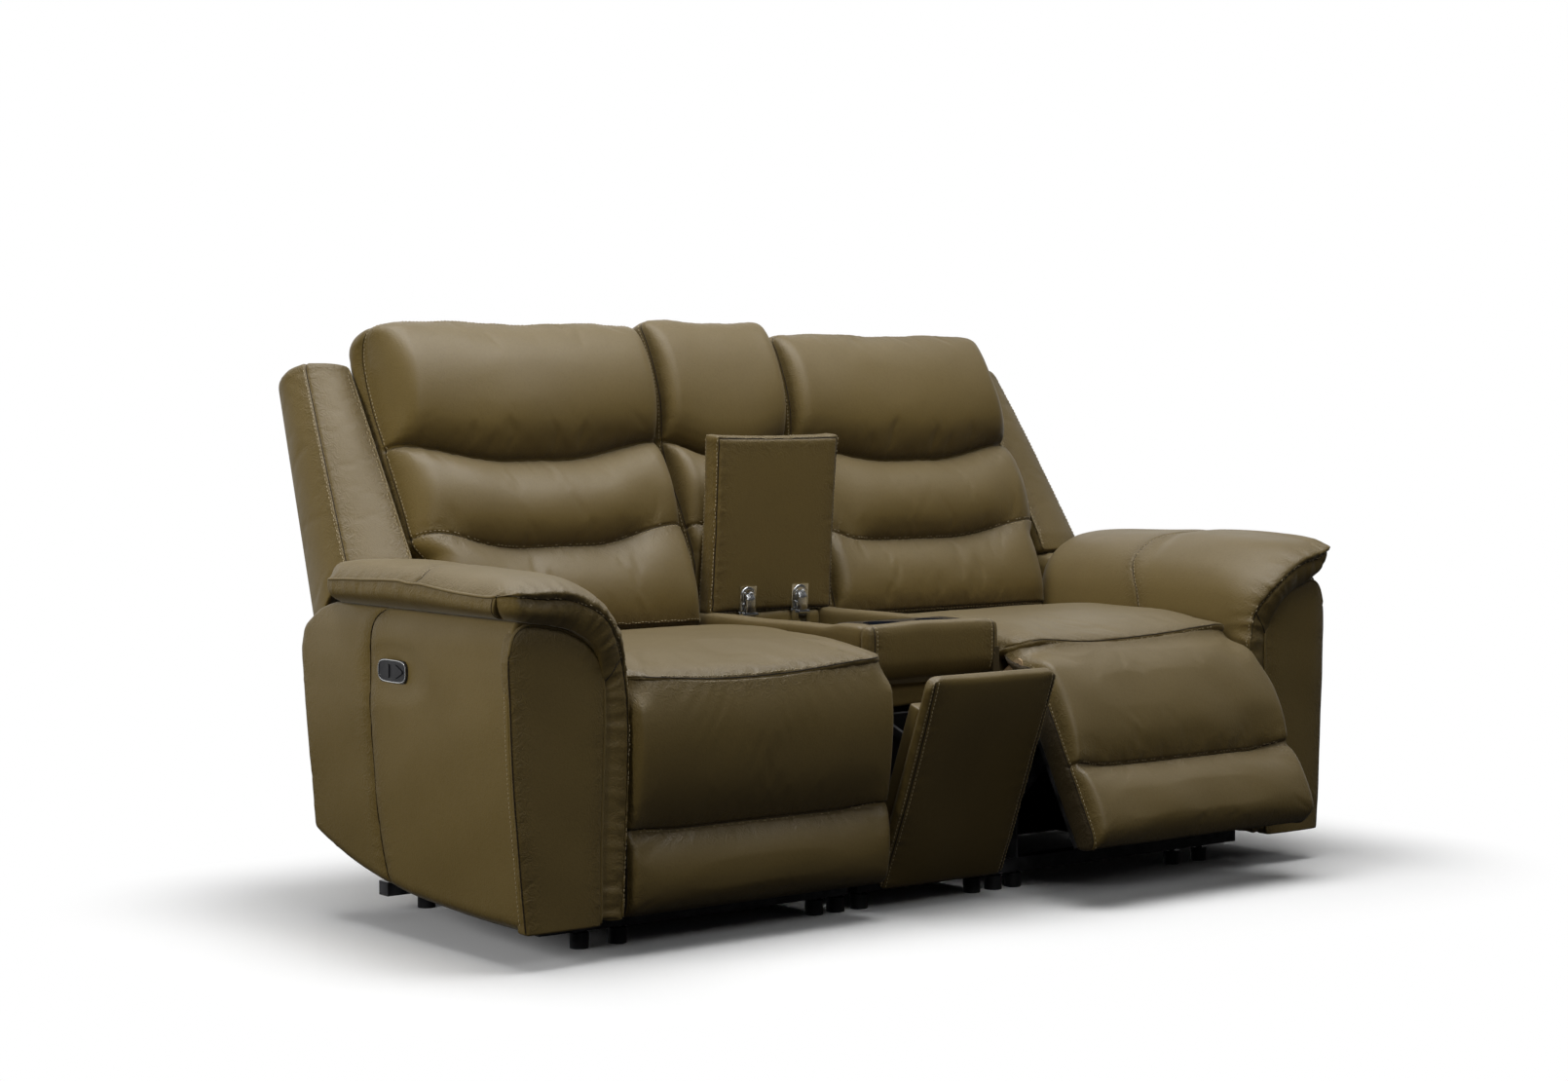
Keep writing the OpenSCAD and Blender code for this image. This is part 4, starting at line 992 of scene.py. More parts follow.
armForm = {
    # across from the lip over the crown and down the inside: front seam, skin and core as x, z
    "stations": [
        (.978, .5985, .978, .6085, .956, .561), (.966, .5995, .970, .6180, .948, .560),
        (.950, .5975, .956, .6275, .938, .558),
        (.920, .5935, .930, .6340, .918, .554), (.893, .5915, .895, .6355, .893, .551),
        (.868, .5900, .860, .6330, .866, .546),
        (.842, .5835, .820, .6270, .838, .537), (.808, .5690, .785, .6120, .812, .522),
        (.783, .5500, .755, .5850, .795, .505),
        (.763, .5250, .736, .5450, .784, .480), (.745, .4950, .7275, .5000, .778, .450),
        (.736, .4600, .7255, .4450, .776, .420),
        (.729, .3700, .7265, .3480, .777, .340), (.731, .28, .730, .28, .779, .28),
        (.734, .216, .733, .216, .780, .216),
        (.738, .14, .737, .14, .781, .14), (.741, .068, .741, .068, .782, .071)],
    "lip": [(-.03, .5985), (.02, .596), (.08, .597), (.14, .600), (.2, .6045), (.26, .6085), (.32, .608),
            (.43, .604),
            (.525, .600), (.61, .598)],
    "crown": [(-.03, .614), (.0, .6215), (.04, .627), (.08, .6295), (.13, .632), (.2, .6345), (.3, .6355),
              (.45, .6345),
              (.55, .630), (.61, .624)],
    "lipHigh": 0.6085, "crownHigh": 0.6355, "lipOut": 0.978,
    "ahead": [(0, .014), (.2, .016), (.3, .008), (.5, .004), (1, .003)],
    "roll": [(0, .05), (.16, .055), (.24, .12), (.32, .14), (.42, .06), (.5, .03), (1, .03)],
    "rear": 0.602, "turnBack": 0.04, "cross": {-1: 0.262, 1: 0.290}, "crossWidth": 0.62,
    "columns": 68, "rows": (14, 56, 7),
    "atFront": (0.013, 0.0042, 0.032, 0.0026, 0.2), "atCross": (0.022, 0.006, 0.020, 0.0010),
    "atLip": (0.022, 0.006, 0.018, 0.0014),
}
trimForm = {"from": 0.87, "share": [(0.06, 0), (0.3, 0.14), (0.46, 0.166), (0.55, 0.27), (0.60, 0.42)],
            "reach": (0.06, 0.30), "rise": 0.007, "lip": 0.010}


def trimmed(points, side):
    # the right arm is a little slimmer and fuller at its front, as the photo shows it
    if side < 0:
        return points
    x, y, z = np.moveaxis(np.array(points, float), -1, 0)
    form = trimForm
    share = spline(form["share"], z) * (1 - ease(*form["reach"], y))
    lip = ease(0.90, 0.955, x) * ease(0.562, 0.59, z)
    rise = (form["rise"] * ease(0.59, 0.63, z) + form["lip"] * lip) * (1 - ease(0.1, 0.4, y))
    return np.stack([x - np.maximum(x - form["from"], 0) * share, y, z + rise], -1)


def makeArmPad(word, side, seed):
    form = armForm
    keys = np.array(form["stations"], float)
    step = np.linalg.norm(np.diff(keys[:, 2:4], axis=0), axis=1)
    along = np.concatenate([[0], np.cumsum(step)]) / step.sum()
    u = np.linspace(0, 1, form["columns"] + 1)
    seamX, seamZ, skinX, skinZ, coreX, coreZ = spline(np.column_stack([along, keys]), u).T
    strip = ease(0.29, 0.48, u)                     # 0 on the top, 1 on the inner strip
    corner = 1 - roundOff(form["lipOut"] - seamX, 0.030)
    frontY = -0.032 + 0.028 * strip + 0.036 * corner      # the front stands over the arm, rounded back at the lip
    innerY = 0.002 - 0.021 * (1 - strip) + 0.034 * corner
    crossY, turnBack = form["cross"][side], form["turnBack"]
    ahead, roll = spline(form["ahead"], u), spline(form["roll"], u)
    rearY = form["rear"] - 0.075 * (1 - ease(0, 0.09, u)) - 0.012 * strip - turnBack
    onLip = 1 - ease(0, 0.07, u)
    onCrown = (1 - onLip) * (1 - strip)
    outer, inner = [], []

    def coreAt(y):
        trim = 0.0 if side < 0 else 0.62 * (1 - ease(0.03, 0.16, y))
        return coreX - trim * np.maximum(coreX - 0.872, 0)

    def place(y, share, sag=0.0):
        level = onLip * (spline(form["lip"], y) - form["lipHigh"]) + onCrown * (spline(form["crown"], y) - form["crownHigh"])
        level = level - sag * (1 - strip)
        outer.append(np.stack([seamX + (skinX - seamX) * share, y, seamZ + (skinZ + level - seamZ) * share],
                              -1))

    frontRows, longRows, rearRows = form["rows"]
    for k in range(frontRows):
        a = k / frontRows * math.pi / 2
        place(frontY + roll * (1 - math.cos(a)) - ahead * math.sin(2 * a), math.sin(a) ** 0.9)
        inner.append(np.stack([coreAt(innerY), innerY + (0.022 - innerY) * (k / frontRows), coreZ], -1))
    for s in np.linspace(0, 1, longRows + 1):
        y = frontY + roll + (rearY - frontY - roll) * s
        place(y, 1.0, 0.003 * np.exp(-((y - crossY) / 0.016) ** 2))      # pulled down a little at the cross seam
        inner.append(np.stack([coreAt(y), np.maximum(y, 0.024), coreZ], -1))
    for k in range(1, rearRows + 1):
        a = k / rearRows * math.pi / 2
        place(rearY + turnBack * math.sin(a), 0.30 + 0.70 * math.cos(a))
        inner.append(np.stack([coreX, rearY + 0.03 * math.sin(a), coreZ], -1))
    front, back = np.array(outer), np.array(inner)
    front[..., 2] += waves(front, seed, 0.16, 0.0012) * (onCrown + 0.2)
    swell = 0.009 if side < 0 else 0.003
    shape = padShape(front, back, rings=6, bulge=lambda a: 0.003 + swell * ease(0.80, 0.93, a[:, 0]))
    shape["points"] = trimmed(shape["points"], side)
    grid = shape["grid"]
    crossRow = frontRows + int(np.argmin(np.abs(front[frontRows:-rearRows, 10, 1] - crossY)))
    cross = grid[crossRow][: int(form["columns"] * form["crossWidth"])]
    name = word + "_arm_cushion"
    piece = softBody(name, shape, side, [(shape["rim"], 0.8)])
    frontLine, crossLine, lipLine, innerLip = (seamAt(piece, spots) for spots in (grid[0], cross, grid[:, 0], grid[-1]))
    pucker(piece, frontLine, form["atFront"], seed)
    pucker(piece, crossLine, form["atCross"], seed + 1)
    pucker(piece, lipLine, form["atLip"], seed + 2)
    groove(piece, crossLine, 0.0024, 0.006)
    groove(piece, frontLine, 0.0022, 0.005)
    markSeams(piece, [frontLine, crossLine, lipLine, innerLip])
    ahead, lipEdge, cross = (lineOf(piece, spots) for spots in (grid[0], grid[:, 0], cross))
    loop = shape["loop"].tolist()
    joins = [lineOf(piece, [strip[loop.index(grid[spot])] for strip in shape["strips"]]) for spot in ((7, 0), (0, 30))]
    extra = sewn(name, piece, [(ahead[2:-2], -0.0055 * side), (cross[2:-2], 0.0045)], [ahead, cross] + joins,
                 [lipEdge])
    fit([piece] + extra, "base")
    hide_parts(word + "_arm_pad")


frontForm = {
    "outer": [(.060, .925), (.279, .946), (.538, .955)],
    "inner": [(.060, .782), (.221, .780), (.397, .774), (.45, .774)],
    "top": [(.774, .44), (.779, .478), (.790, .501), (.803, .516), (.82, .527), (.846, .538), (.88, .547),
            (.910, .551),
            (.930, .549), (.943, .540), (.952, .522), (.956, .497)],
    "topFrom": .774, "topWide": .182, "low": 0.061, "deep": 0.022, "crown": 0.008, "rows": 64, "columns": 26,
    "pipe": 0.0028, "atRim": (0.024, 0.006, 0.016, 0.0009),
}


def makeArmFront(word, side, seed):
    form = frontForm
    f, s = spread(form["columns"], 0.1), spread(form["rows"], 0.06)[:, None]
    top = spline([((x - form["topFrom"]) / form["topWide"], z) for x, z in form["top"]], f)
    z = form["low"] + (top - form["low"]) * s
    xi, xo = spline(form["inner"], z), spline(form["outer"], z)
    x = xi + (xo - xi) * f
    x = x + (form["topFrom"] + form["topWide"] * f - x) * ease(0.82, 1.0, s)
    rim = np.minimum(np.minimum(x - xi, xo - x), (1 - s) * 0.46)
    y = -form["crown"] * (0.25 + 0.75 * roundOff(rim, 0.05)) + flatWaves(x, z, seed, 0.14, 0.0007)
    shape = padShape(np.stack([x, y, z], -1), np.stack([x, np.full_like(x, form["deep"]), z], -1), rings=3,
                     bulge=0.0)
    shape["points"] = trimmed(shape["points"], side)
    name = word + "_arm_front_panel"
    piece = softBody(name, shape, side, [(shape["rim"], 0.9)])
    grid = shape["grid"]
    over = np.append(grid[:, 0], grid[-1, 1:])
    rimLine = seamAt(piece, np.append(over, grid[-2::-1, -1]))
    pucker(piece, rimLine, form["atRim"], seed)
    markSeams(piece, [rimLine])
    extra = sewn(name, piece, [], [lineOf(piece, grid[:, -1])], [lineOf(piece, over)], form["pipe"])
    fit([piece] + extra, "base")
    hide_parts(word + "_arm_front")


sideForm = {
    "low": [(0.0, .0626), (.2, .066), (.41, .0825), (.548, .111), (.61, .132), (.667, .154), (.68, .160)],
    "rear": [(0, .667), (.45, .666), (.67, .674), (.84, .677), (.89, .670), (.93, .650), (.98, .616),
             (1, .585)],
    "outer": [(.06, .925), (.28, .9465), (.40, .9525), (.49, .9525), (.53, .948), (.556, .938)],
    "seam": [(.06, .410), (.16, .430), (.30, .437), (.43, .435), (.51, .4345), (.5325, .431), (.5495, .418),
             (.556, .404)],
    "front": 0.004, "high": 0.556, "inside": 0.777, "rows": 58, "columns": 84,
    "switch": (0.357, 0.454), "switchHalf": (0.049, 0.023), "power": 2.6,
    "atSeam": (0.03, 0.007, 0.02, 0.0008), "atRear": (0.03, 0.006, 0.02, 0.0008),
    "atLow": (0.04, 0.008, 0.02, 0.0008),
}


def makeArmSide(word, side, seed):
    form = sideForm
    s = spread(form["rows"], 0.06)[:, None]
    rear = spline(form["rear"], s)
    y = form["front"] + (rear - form["front"]) * np.linspace(0, 1, form["columns"] + 1)
    low = spline(form["low"], y)
    z = low + (form["high"] - low) * s
    seamY = spline(form["seam"], z)
    x = spline(form["outer"], z) - 0.0030 * np.exp(-((y - seamY) / 0.012) ** 2)
    x = x + 0.0012 * np.sin(math.pi * s) * np.sin(math.pi * np.clip(y / seamY, 0, 1))
    (switchY, switchZ), (wide, high), power = form["switch"], form["switchHalf"], form["power"]
    beside = (np.abs((y - switchY) / wide) ** power + np.abs((z - switchZ) / high) ** power) ** (1 / power)
    # drawn in round the switch
    x = x - 0.0044 * (1 - ease(1.0, 2.6, beside)) - 0.0035 * (1 - ease(0.6, 0.95, beside))
    x = x - 0.014 * (1 - roundOff(np.minimum(rear - y, z - low), 0.020))
    x = x + flatWaves(y, z, seed, 0.2, 0.0010) * roundOff(y, 0.06)
    shape = padShape(np.stack([x, y, z], -1), np.stack([np.full_like(x, form["inside"]), y, z], -1), rings=9,
                     bulge=0.003)
    shape["points"] = trimmed(shape["points"], side)
    grid = shape["grid"]
    name = word + "_arm_side"
    piece = softBody(name, shape, side, [(shape["rim"], 0.7)])
    level = np.linspace(0.555, 0.085, 60)
    line = trimmed(np.stack([spline(form["outer"], level), spline(form["seam"], level), level], -1), side)
    seamLine = Seam(piece, onSurface(surfaceOf(piece), placed(line, side)))
    rearLine, lowLine = seamAt(piece, grid[:, -1]), seamAt(piece, grid[0])
    groove(piece, seamLine, 0.0028, 0.006)
    pucker(piece, seamLine, form["atSeam"], seed)
    pucker(piece, rearLine, form["atRear"], seed + 1)
    pucker(piece, lowLine, form["atLow"], seed + 2)
    markSeams(piece, [seamLine, rearLine, lowLine])
    rear, ahead = lineOf(piece, grid[:, -1]), lineOf(piece, grid[:, 0])
    extra = sewn(name, piece, [(rear[2:-8], 0.008 * side), (ahead[2:-2] + (0, 0.008, 0), 0.0)],
                 [seamLine.line])
    fit([piece] + extra, "base")
    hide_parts(word + "_arm_body")


rimForm = {"half": (0.0438, 0.0182), "square": 0.55, "x": 0.9532, "radius": 0.0012, "count": 72, "sides": 8}


def makeSwitchRim(word, side):
    # a bright rim round the switch plate
    form = rimForm
    flat = circle(form["count"])
    flat = np.sign(flat) * np.abs(flat) ** form["square"] * form["half"] + sideForm["switch"]
    heap = Heap()
    line = placed(np.column_stack([np.full(form["count"], form["x"]), flat]), side)
    heap.add(*tube(line, form["radius"], form["sides"], closed=True))
    fit([heap.build(word + "_switch_rim", chrome)], "base")


for (word, side), seed in zip(sides, (41, 47)):
    makeArmPad(word, side, seed)
    makeArmFront(word, side, seed + 100)
    makeArmSide(word, side, seed + 200)
for word, side in sides:
    makeSwitchRim(word, side)
print("arms made")


# seats, and the footrest pads that hang from their front edge

seatForm = {
    "half": 0.277, "rear": 0.615, "seamY": -0.008, "seamZ": 0.445, "seamRise": 0.017, "nose": 0.075,
    "topZ": [(.004, .452), (.02, .464), (.05, .474), (.1, .482), (.2, .489), (.33, .490), (.45, .485),
             (.60, .470)],
    "rimZ": 0.453, "round": 0.05, "columns": 80, "rows": (68, 16), "turn": math.radians(62),
    "openShift": 0.029,
    "pressure": 3.0, "spare": 0.004, "most": 0.005, "atSeam": (0.019, 0.0055, 0.020, 0.0010, 0.25),
}
bend = {"start": (0, .12, .49), "end": (0, -.01, .38), "endOpen": (0, -.0217, .4129), "y": .05, "z": .42}


def opened(points, side):
    # the right footrest stands a little open at rest; its leather bends at the seat's front edge
    if side < 0:
        return points
    start, run = np.array(bend["start"]), np.subtract(bend["end"], bend["start"])
    share = ease(0, 1, (points - start) @ run / np.sum(run**2))
    return swung(points, openRight * share, bend["y"], bend["z"])


def hang(pieces):
    for one in pieces:
        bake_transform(one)


def seatSeam(u, side):
    # height of the seam along the front edge, and how far it runs back at the corners
    form = seatForm
    corner = 1 - roundOff(form["half"] * (1 - np.abs(u)), 0.056)
    height = form["seamZ"] + form["seamRise"] * ease(0.1, 1.1, np.abs(u - 0.12)) - 0.007 * corner
    if side > 0:
        return height + 0.012 * ease(-0.6, 0.4, u), (0.064 - 0.026 * (u > 0)) * corner
    return height, 0.064 * corner


def makeSeat(word, side, seed):
    form = seatForm
    half, rearY = form["half"], form["rear"]
    u = np.linspace(-1, 1, form["columns"] + 1)
    near = half * (1 - np.abs(u))
    seamY = form["seamY"] + (0.0 if side < 0 else form["openShift"])
    seamZ, seamBack = seatSeam(u, side)
    top, low = [], []
    flatRows, turnRows = form["rows"]
    for k in range(flatRows + 1):
        y = rearY + (seamY + form["nose"] - rearY) * k / flatRows
        z = form["rimZ"] + (spline(form["topZ"], max(y, 0.03)) - form["rimZ"]) * roundOff(near, form["round"])
        z = z - 0.003 * np.exp(-((y - .36) / .16) ** 2) * (1 - u**2)      # sat in a little
        top.append(np.stack(np.broadcast_arrays(seatX + half * u, y, z), -1))
        behind = (min(y, rearY - 0.005), 0.362 + 0.062 * ease(.13, .05, y))
        low.append(np.stack(np.broadcast_arrays(seatX + half * u, *behind), -1))
    x, startY, startZ = top[-1].T
    for k in range(1, turnRows + 1):
        a = k / turnRows * form["turn"]
        y = startY + (seamY + seamBack - startY) * math.sin(a) / math.sin(form["turn"])
        z = startZ + (seamZ - startZ) * (1 - math.cos(a)) / (1 - math.cos(form["turn"]))
        top.append(np.stack([x, y, z], -1))
        behind = seamY + 0.020 + seamBack + (y - seamY - seamBack) * 0.93
        low.append(np.stack([seatX + half * u * 0.985, behind, seamZ - 0.022], -1))
    front = np.array(top)
    front[..., 2] += waves(front, seed, 0.22, 0.0016) * roundOff(half - np.abs(front[..., 0] - seatX), 0.07)
    shape = padShape(front, np.array(low), rings=6, bulge=0.004)
    shape["points"] = opened(shape["points"], side)
    grid = shape["grid"]
    name = word + "_seat_pillow"
    piece = softBody(name, shape, side, [(shape["rim"], 0.75)], [(shape["back"], 1), (shape["loop"], 1)],
                     form)
    seams = [seamAt(piece, spots) for spots in (grid[:, 0], grid[:, -1], grid[-1])]
    for number, line in enumerate(seams):
        pucker(piece, line, form["atSeam"], seed + number)
        groove(piece, line, 0.0022, 0.005)
    markSeams(piece, seams)
    one, two, ahead = (lineOf(piece, spots) for spots in (grid[:, 0], grid[:, -1], grid[-1]))
    extra = sewn(name, piece, [(ahead[9:-9], -0.0055), (one[:-22], 0.0055), (two[:-22], -0.0055)],
                 [ahead[4:-4], one[:-12], two[:-12]])
    hang([piece] + extra)
    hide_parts(word + "_seat_cushion")


padForm = {
    "faceY": [(.060, .008), (.075, .000), (.10, -.006), (.14, -.008), (.17, -.003), (.188, .007),
              (.198, .017), (.200, .019),
              (.203, .017), (.214, .007), (.235, -.003), (.27, -.013), (.31, -.019), (.35, -.021),
              (.39, -.019),
              (.42, -.014), (.437, -.010), (.448, -.006), (.47, .008)],
    "plainY": [(.060, .008), (.075, .000), (.10, -.006), (.15, -.011), (.20, -.014), (.25, -.016),
               (.31, -.019),
               (.35, -.021), (.39, -.019), (.42, -.014), (.437, -.010), (.448, -.006), (.47, .008)],
    "low": 0.062, "crease": 0.200, "joinY": -0.008, "round": 0.018, "rimY": 0.010, "deep": 0.062,
    "columns": 80, "rows": (58, 40), "pressure": 3.0, "spare": 0.002, "most": 0.0035,
    "atSeam": (0.021, 0.0055, 0.018, 0.0010, 0.25), "atCrease": (0.03, 0.0065, 0.024, 0.0014, 0.2),
}


def makeFootPad(word, side, seed):
    form = padForm
    half, low = seatForm["half"], form["low"]
    u = np.linspace(-1, 1, form["columns"] + 1)
    near = half * (1 - np.abs(u))
    seamZ, seamBack = seatSeam(u, side)
    seamZ = seamZ - 0.0015
    crease = form["crease"] + 0.006 * ease(0.6, 1, np.abs(u))
    z = np.array([crease + (seamZ - crease) * s for s in 1 - spread(form["rows"][0], 0.1)]
                 + [low + (crease - low) * s for s in (1 - spread(form["rows"][1], 0.1))[1:]])
    plain = spline(form["plainY"], z)
    # no crease at the ends
    y = plain + (spline(form["faceY"], z) - plain) * (0.30 + 0.70 * roundOff(near, 0.07))
    rounding = roundOff(near, form["round"])
    # the join with the seat curves back at both corners
    bulged = form["rimY"] + (y - form["rimY"]) * rounding
    y = bulged + (seatForm["seamY"] + seamBack + y - form["joinY"] - bulged) * ease(0.40, 0.452, z)
    y = y + (1 - roundOff(z - low, 0.03)) * 0.020
    x = np.broadcast_to(seatX + half * u, z.shape)
    if side > 0:
        # the open one hangs a little fuller: wider outside, lower and further forward
        y = y + seatForm["openShift"] * ease(0.38, 0.45, z)
        full = 1 - ease(0.24, 0.42, z)
        x = x + 0.017 * ease(0.2, 1.0, u) * (1 - ease(0.30, 0.40, z)) * (1 - ease(0.0, 0.03, y))
        z = z - 0.010 * (1 - ease(0.062, 0.20, z))
        y = y - 0.012 * full * rounding
    front = np.stack([x, y, z], -1)
    front[..., 1] += waves(front, seed, 0.15, 0.0012) * rounding
    behind = 0.070 + 0.358 * (z - z[-1:]) / (z[:1] - z[-1:])
    back = np.stack(np.broadcast_arrays(seatX + half * 0.985 * u, form["deep"], behind), -1)
    shape = padShape(front, back, rings=5, bulge=0.003)
    shape["points"] = opened(shape["points"], side)
    grid = shape["grid"]
    crease = grid[form["rows"][0]]
    name = word + "_footrest_cover"
    held = [(shape["back"], 1), (shape["loop"], 1), (crease, 1)]
    piece = softBody(name, shape, side, [(shape["rim"], 0.75), (crease, 0.6)], held, form)
    piece.data.materials.append(hideDark)      # the strip round the sides takes the dark lining leather as painted shade
    sheets = 8 * (grid.shape[0] - 1) * (grid.shape[1] - 1)      # faces of the front and the back
    shadedSides = [int(face.index >= sheets and abs(face.normal.x) > 0.6) for face in piece.data.polygons]
    piece.data.polygons.foreach_set("material_index", shadedSides)
    chains = (grid[:, 0], grid[:, -1], grid[0], crease, grid[-1])
    seams = [seamAt(piece, spots) for spots in chains]
    for number, line in enumerate(seams[:3]):
        pucker(piece, line, form["atSeam"], seed + number)
        groove(piece, line, 0.0022, 0.005)
    pucker(piece, seams[3], form["atCrease"], seed + 5)
    groove(piece, seams[3], 0.004, 0.008)
    markSeams(piece, seams)
    one, two, _, across, _ = (lineOf(piece, spots) for spots in chains)
    extra = sewn(name, piece, [(one[14:], 0.0055), (two[14:], -0.0055), (across[4:-4], 0.005)],
                 [across[2:-2], one[12:], two[12:]])
    hang([piece] + extra)
    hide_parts(word + "_footrest_pad")


liningForm = {
    # leather over the frame in the corner behind the seat and beside it: low and high corners, edge, cuts
    "_corner_lining": ((0.7585, 0.560, 0.092), (0.7775, 0.668, 0.515), 0.007, (4, 14, 50)),
    "_arm_rear_cover": ((0.752, 0.572, 0.50), (0.812, 0.672, 0.582), 0.024, (10, 14, 10)),
}


def plainPad(name, low, high, edge, divide, place):
    # a padded box put in place, without seams
    piece = boxPad(name, low, high, edge, divide)
    setCoordinates(piece, place(coordinates(piece)))
    refine(piece)
    markSeams(piece, [])
    return piece


for (word, side), seed in zip(sides, (61, 67)):
    makeSeat(word, side, seed)
    makeFootPad(word, side, seed + 20)
for word, side in sides:
    for end, (low, high, edge, divide) in liningForm.items():
        (x1, y1, z1), (x2, y2, z2) = low, high
        x1, x2 = sorted((side * x1, side * x2))
        fit([plainPad(word + end, (x1, y1, z1), (x2, y2, z2), edge, divide, placed)], "base")
print("seats, footrests and linings made")


# console: a padded top round its tray and its well, the lid and the tilting door

consoleForm = {
    # low and high corners, edge radius, cuts
    "console_front_block": ((-.1565, .0795, .4065), (.1565, .108, .503), 0.0135, (34, 5, 12)),
    "console_left_rail": ((-.1560, .104, .440), (-.1185, .598, .501), 0.012, (5, 50, 8)),
    "console_right_rail": ((.1185, .104, .440), (.1560, .598, .501), 0.012, (5, 50, 8)),
    "console_bridge": ((-.120, .2045, .462), (.120, .2345, .499), 0.010, (26, 4, 6)),
    "console_rear_rail": ((-.120, .5535, .462), (.120, .598, .499), 0.010, (26, 5, 6)),
    "console_step": ((-.1500, .1095, .3560), (.1500, .123, .4080), 0.006, (30, 3, 10)),
}
blockForm = {
    "half": 0.156, "frontTo": 0.09, "seed": 90, "atSeam": (0.018, 0.005, 0.014, 0.0008),
    # y and z down the front, for the seam at either end, x from the middle
    "seam": [(.0875, .5085), (.0765, .495), (.0735, .47), (.0735, .445), (.079, .418)], "seamX": 0.1415,
}


def puckered(name, piece, seams, fold, seed, deep, rows):
    # works the seams of a box pad; rows are its stitches
    for number, seam in enumerate(seams):
        pucker(piece, seam, fold, seed + number)
        groove(piece, seam, *deep)
    markSeams(piece, seams)
    return [piece] + sewn(name, piece, rows, [one.line for one in seams])


def makeConsoleTop():
    made, form = {}, blockForm
    for name, (low, high, edge, divide) in consoleForm.items():
        piece = boxPad(name, low, high, edge, divide)
        x, y, z = coordinates(piece).T
        u, front = np.clip(np.abs(x) / form["half"], 0, 1), y < form["frontTo"]
        if name == "console_front_block":
            # crowned over its length, soft at its lower edge
            z = z + ease(0.47, 0.503, z) * (0.0065 - 0.004 * u**3)
            y = y - 0.0025 * np.clip(1 - ((z - 0.470) / 0.055) ** 2, 0, 1) * (1 - u**6) * front
            y = y + 0.006 * ease(0.440, 0.408, z) * (y < form["frontTo"])
        elif "rail" in name:
            z = z + ease(0.48, 0.50, z) * 0.0055 * ease(0.205, 0.165, y)
        z = z + waves(np.column_stack([x, y, z]), form["seed"] + len(made), 0.12, 0.0009)
        setCoordinates(piece, placed(np.column_stack([x, y, z])))
        refine(piece)
        made[name] = piece
    block, *others = made.values()
    surface, seams = surfaceOf(block), []
    for x in (-form["seamX"], form["seamX"]):
        line = evenly(placed([(x, y, z) for y, z in form["seam"]]), 0.004)
        seams.append(Seam(block, onSurface(surface, line)))
    for number, seam in enumerate(seams):
        groove(block, seam, 0.0022, 0.005)
        pucker(block, seam, form["atSeam"], 95 + number)
    markSeams(block, seams)
    extra = sewn("console_front_block", block, [(seams[0].line, 0.0055), (seams[1].line, -0.0055)],
                 [one.line for one in seams])
    for piece in others:
        markSeams(piece, [])
    fit([block] + others + extra, "base")
    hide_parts("console_top")


def lidPlace(points):
    # from shut to the open lid
    return swung(placed(points), openLid, lidPin[0] - setback, lidPin[1])


lidForm = {"low": (-0.1475, 0.203, 0.5035), "high": (0.1475, 0.543, 0.5500), "edge": 0.011,
           "divide": (40, 44, 10),
           "crown": 0.0065, "draw": 0.0035, "ear": 0.003, "inset": 0.0045,
           "atSeam": (0.017, 0.0045, 0.014, 0.0010)}


def makeLid():
    form = lidForm
    lo, hi = np.array(form["low"]), np.array(form["high"])
    piece = boxPad("lid_cushion", lo, hi, form["edge"], form["divide"])
    points = coordinates(piece)
    half = (hi - lo) / 2
    u, v, w = ((points - (lo + hi) / 2) / half).T
    # full faces, sides drawn in between the corners so that the corners stand out as small ears
    full = (1 - u**4) * (1 - v**4) * (np.abs(w) > 0.5) * np.where(w > 0, 1, 0.25)
    ear = form["ear"] * np.clip(np.abs(u) * np.abs(v) - 0.86, 0, 1) / 0.14
    points[:, 0] += np.sign(u) * (ear - form["draw"] * (1 - v**2) * np.abs(u) ** 8)
    points[:, 1] += np.sign(v) * (ear - form["draw"] * (1 - u**2) * np.abs(v) ** 8)
    points[:, 2] += np.sign(w) * form["crown"] * full
    setCoordinates(piece, lidPlace(points))
    refine(piece)
    surface, seams = surfaceOf(piece), []
    x, a, b = half[0] - form["inset"], lo[1] + form["inset"], hi[1] - form["inset"]
    for z in (lo[2] + 0.001, hi[2] + 0.0015):
        line = evenly([(-x, a, z), (x, a, z), (x, b, z), (-x, b, z)], 0.006, closed=True)
        seams.append(Seam(piece, onSurface(surface, lidPlace(np.vstack([line, line[:1]])))))
    stitched = [(seams[0].line[:-1], 0.0055), (seams[1].line[:-1], -0.0055)]
    fit(puckered("lid_cushion", piece, seams, form["atSeam"], 71, (0.0024, 0.0045), stitched), "console_lid")
    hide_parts("lid_pad", "lid_board")


hingeForm = {
    "x": 0.063, "y": 0.509, "under": 0.5015, "plate": (0.0180, 0.0024, 36, 0.0006),
    "screw": (0.0030, 0.0014, 16, 0.0008),
    "screws": ((-.008, .005), (.008, .005), (0, -.009)), "sunk": 0.0004, "wide": 0.0100,
    # the bent link: y and z along it, and across it share of its width and height
    "link": [(.006, .004), (-.004, .0105), (-.020, .0115), (-.034, .010), (-.041, .004)],
    "rib": ((-1, -.003), (-1, .0006), (-.8, .0014), (0, .0022), (.8, .0014), (1, .0006), (1, -.003),
            (0, -.0012)),
    "caps": ((0, 1, 2, 7), (4, 5, 6, 7)),
}


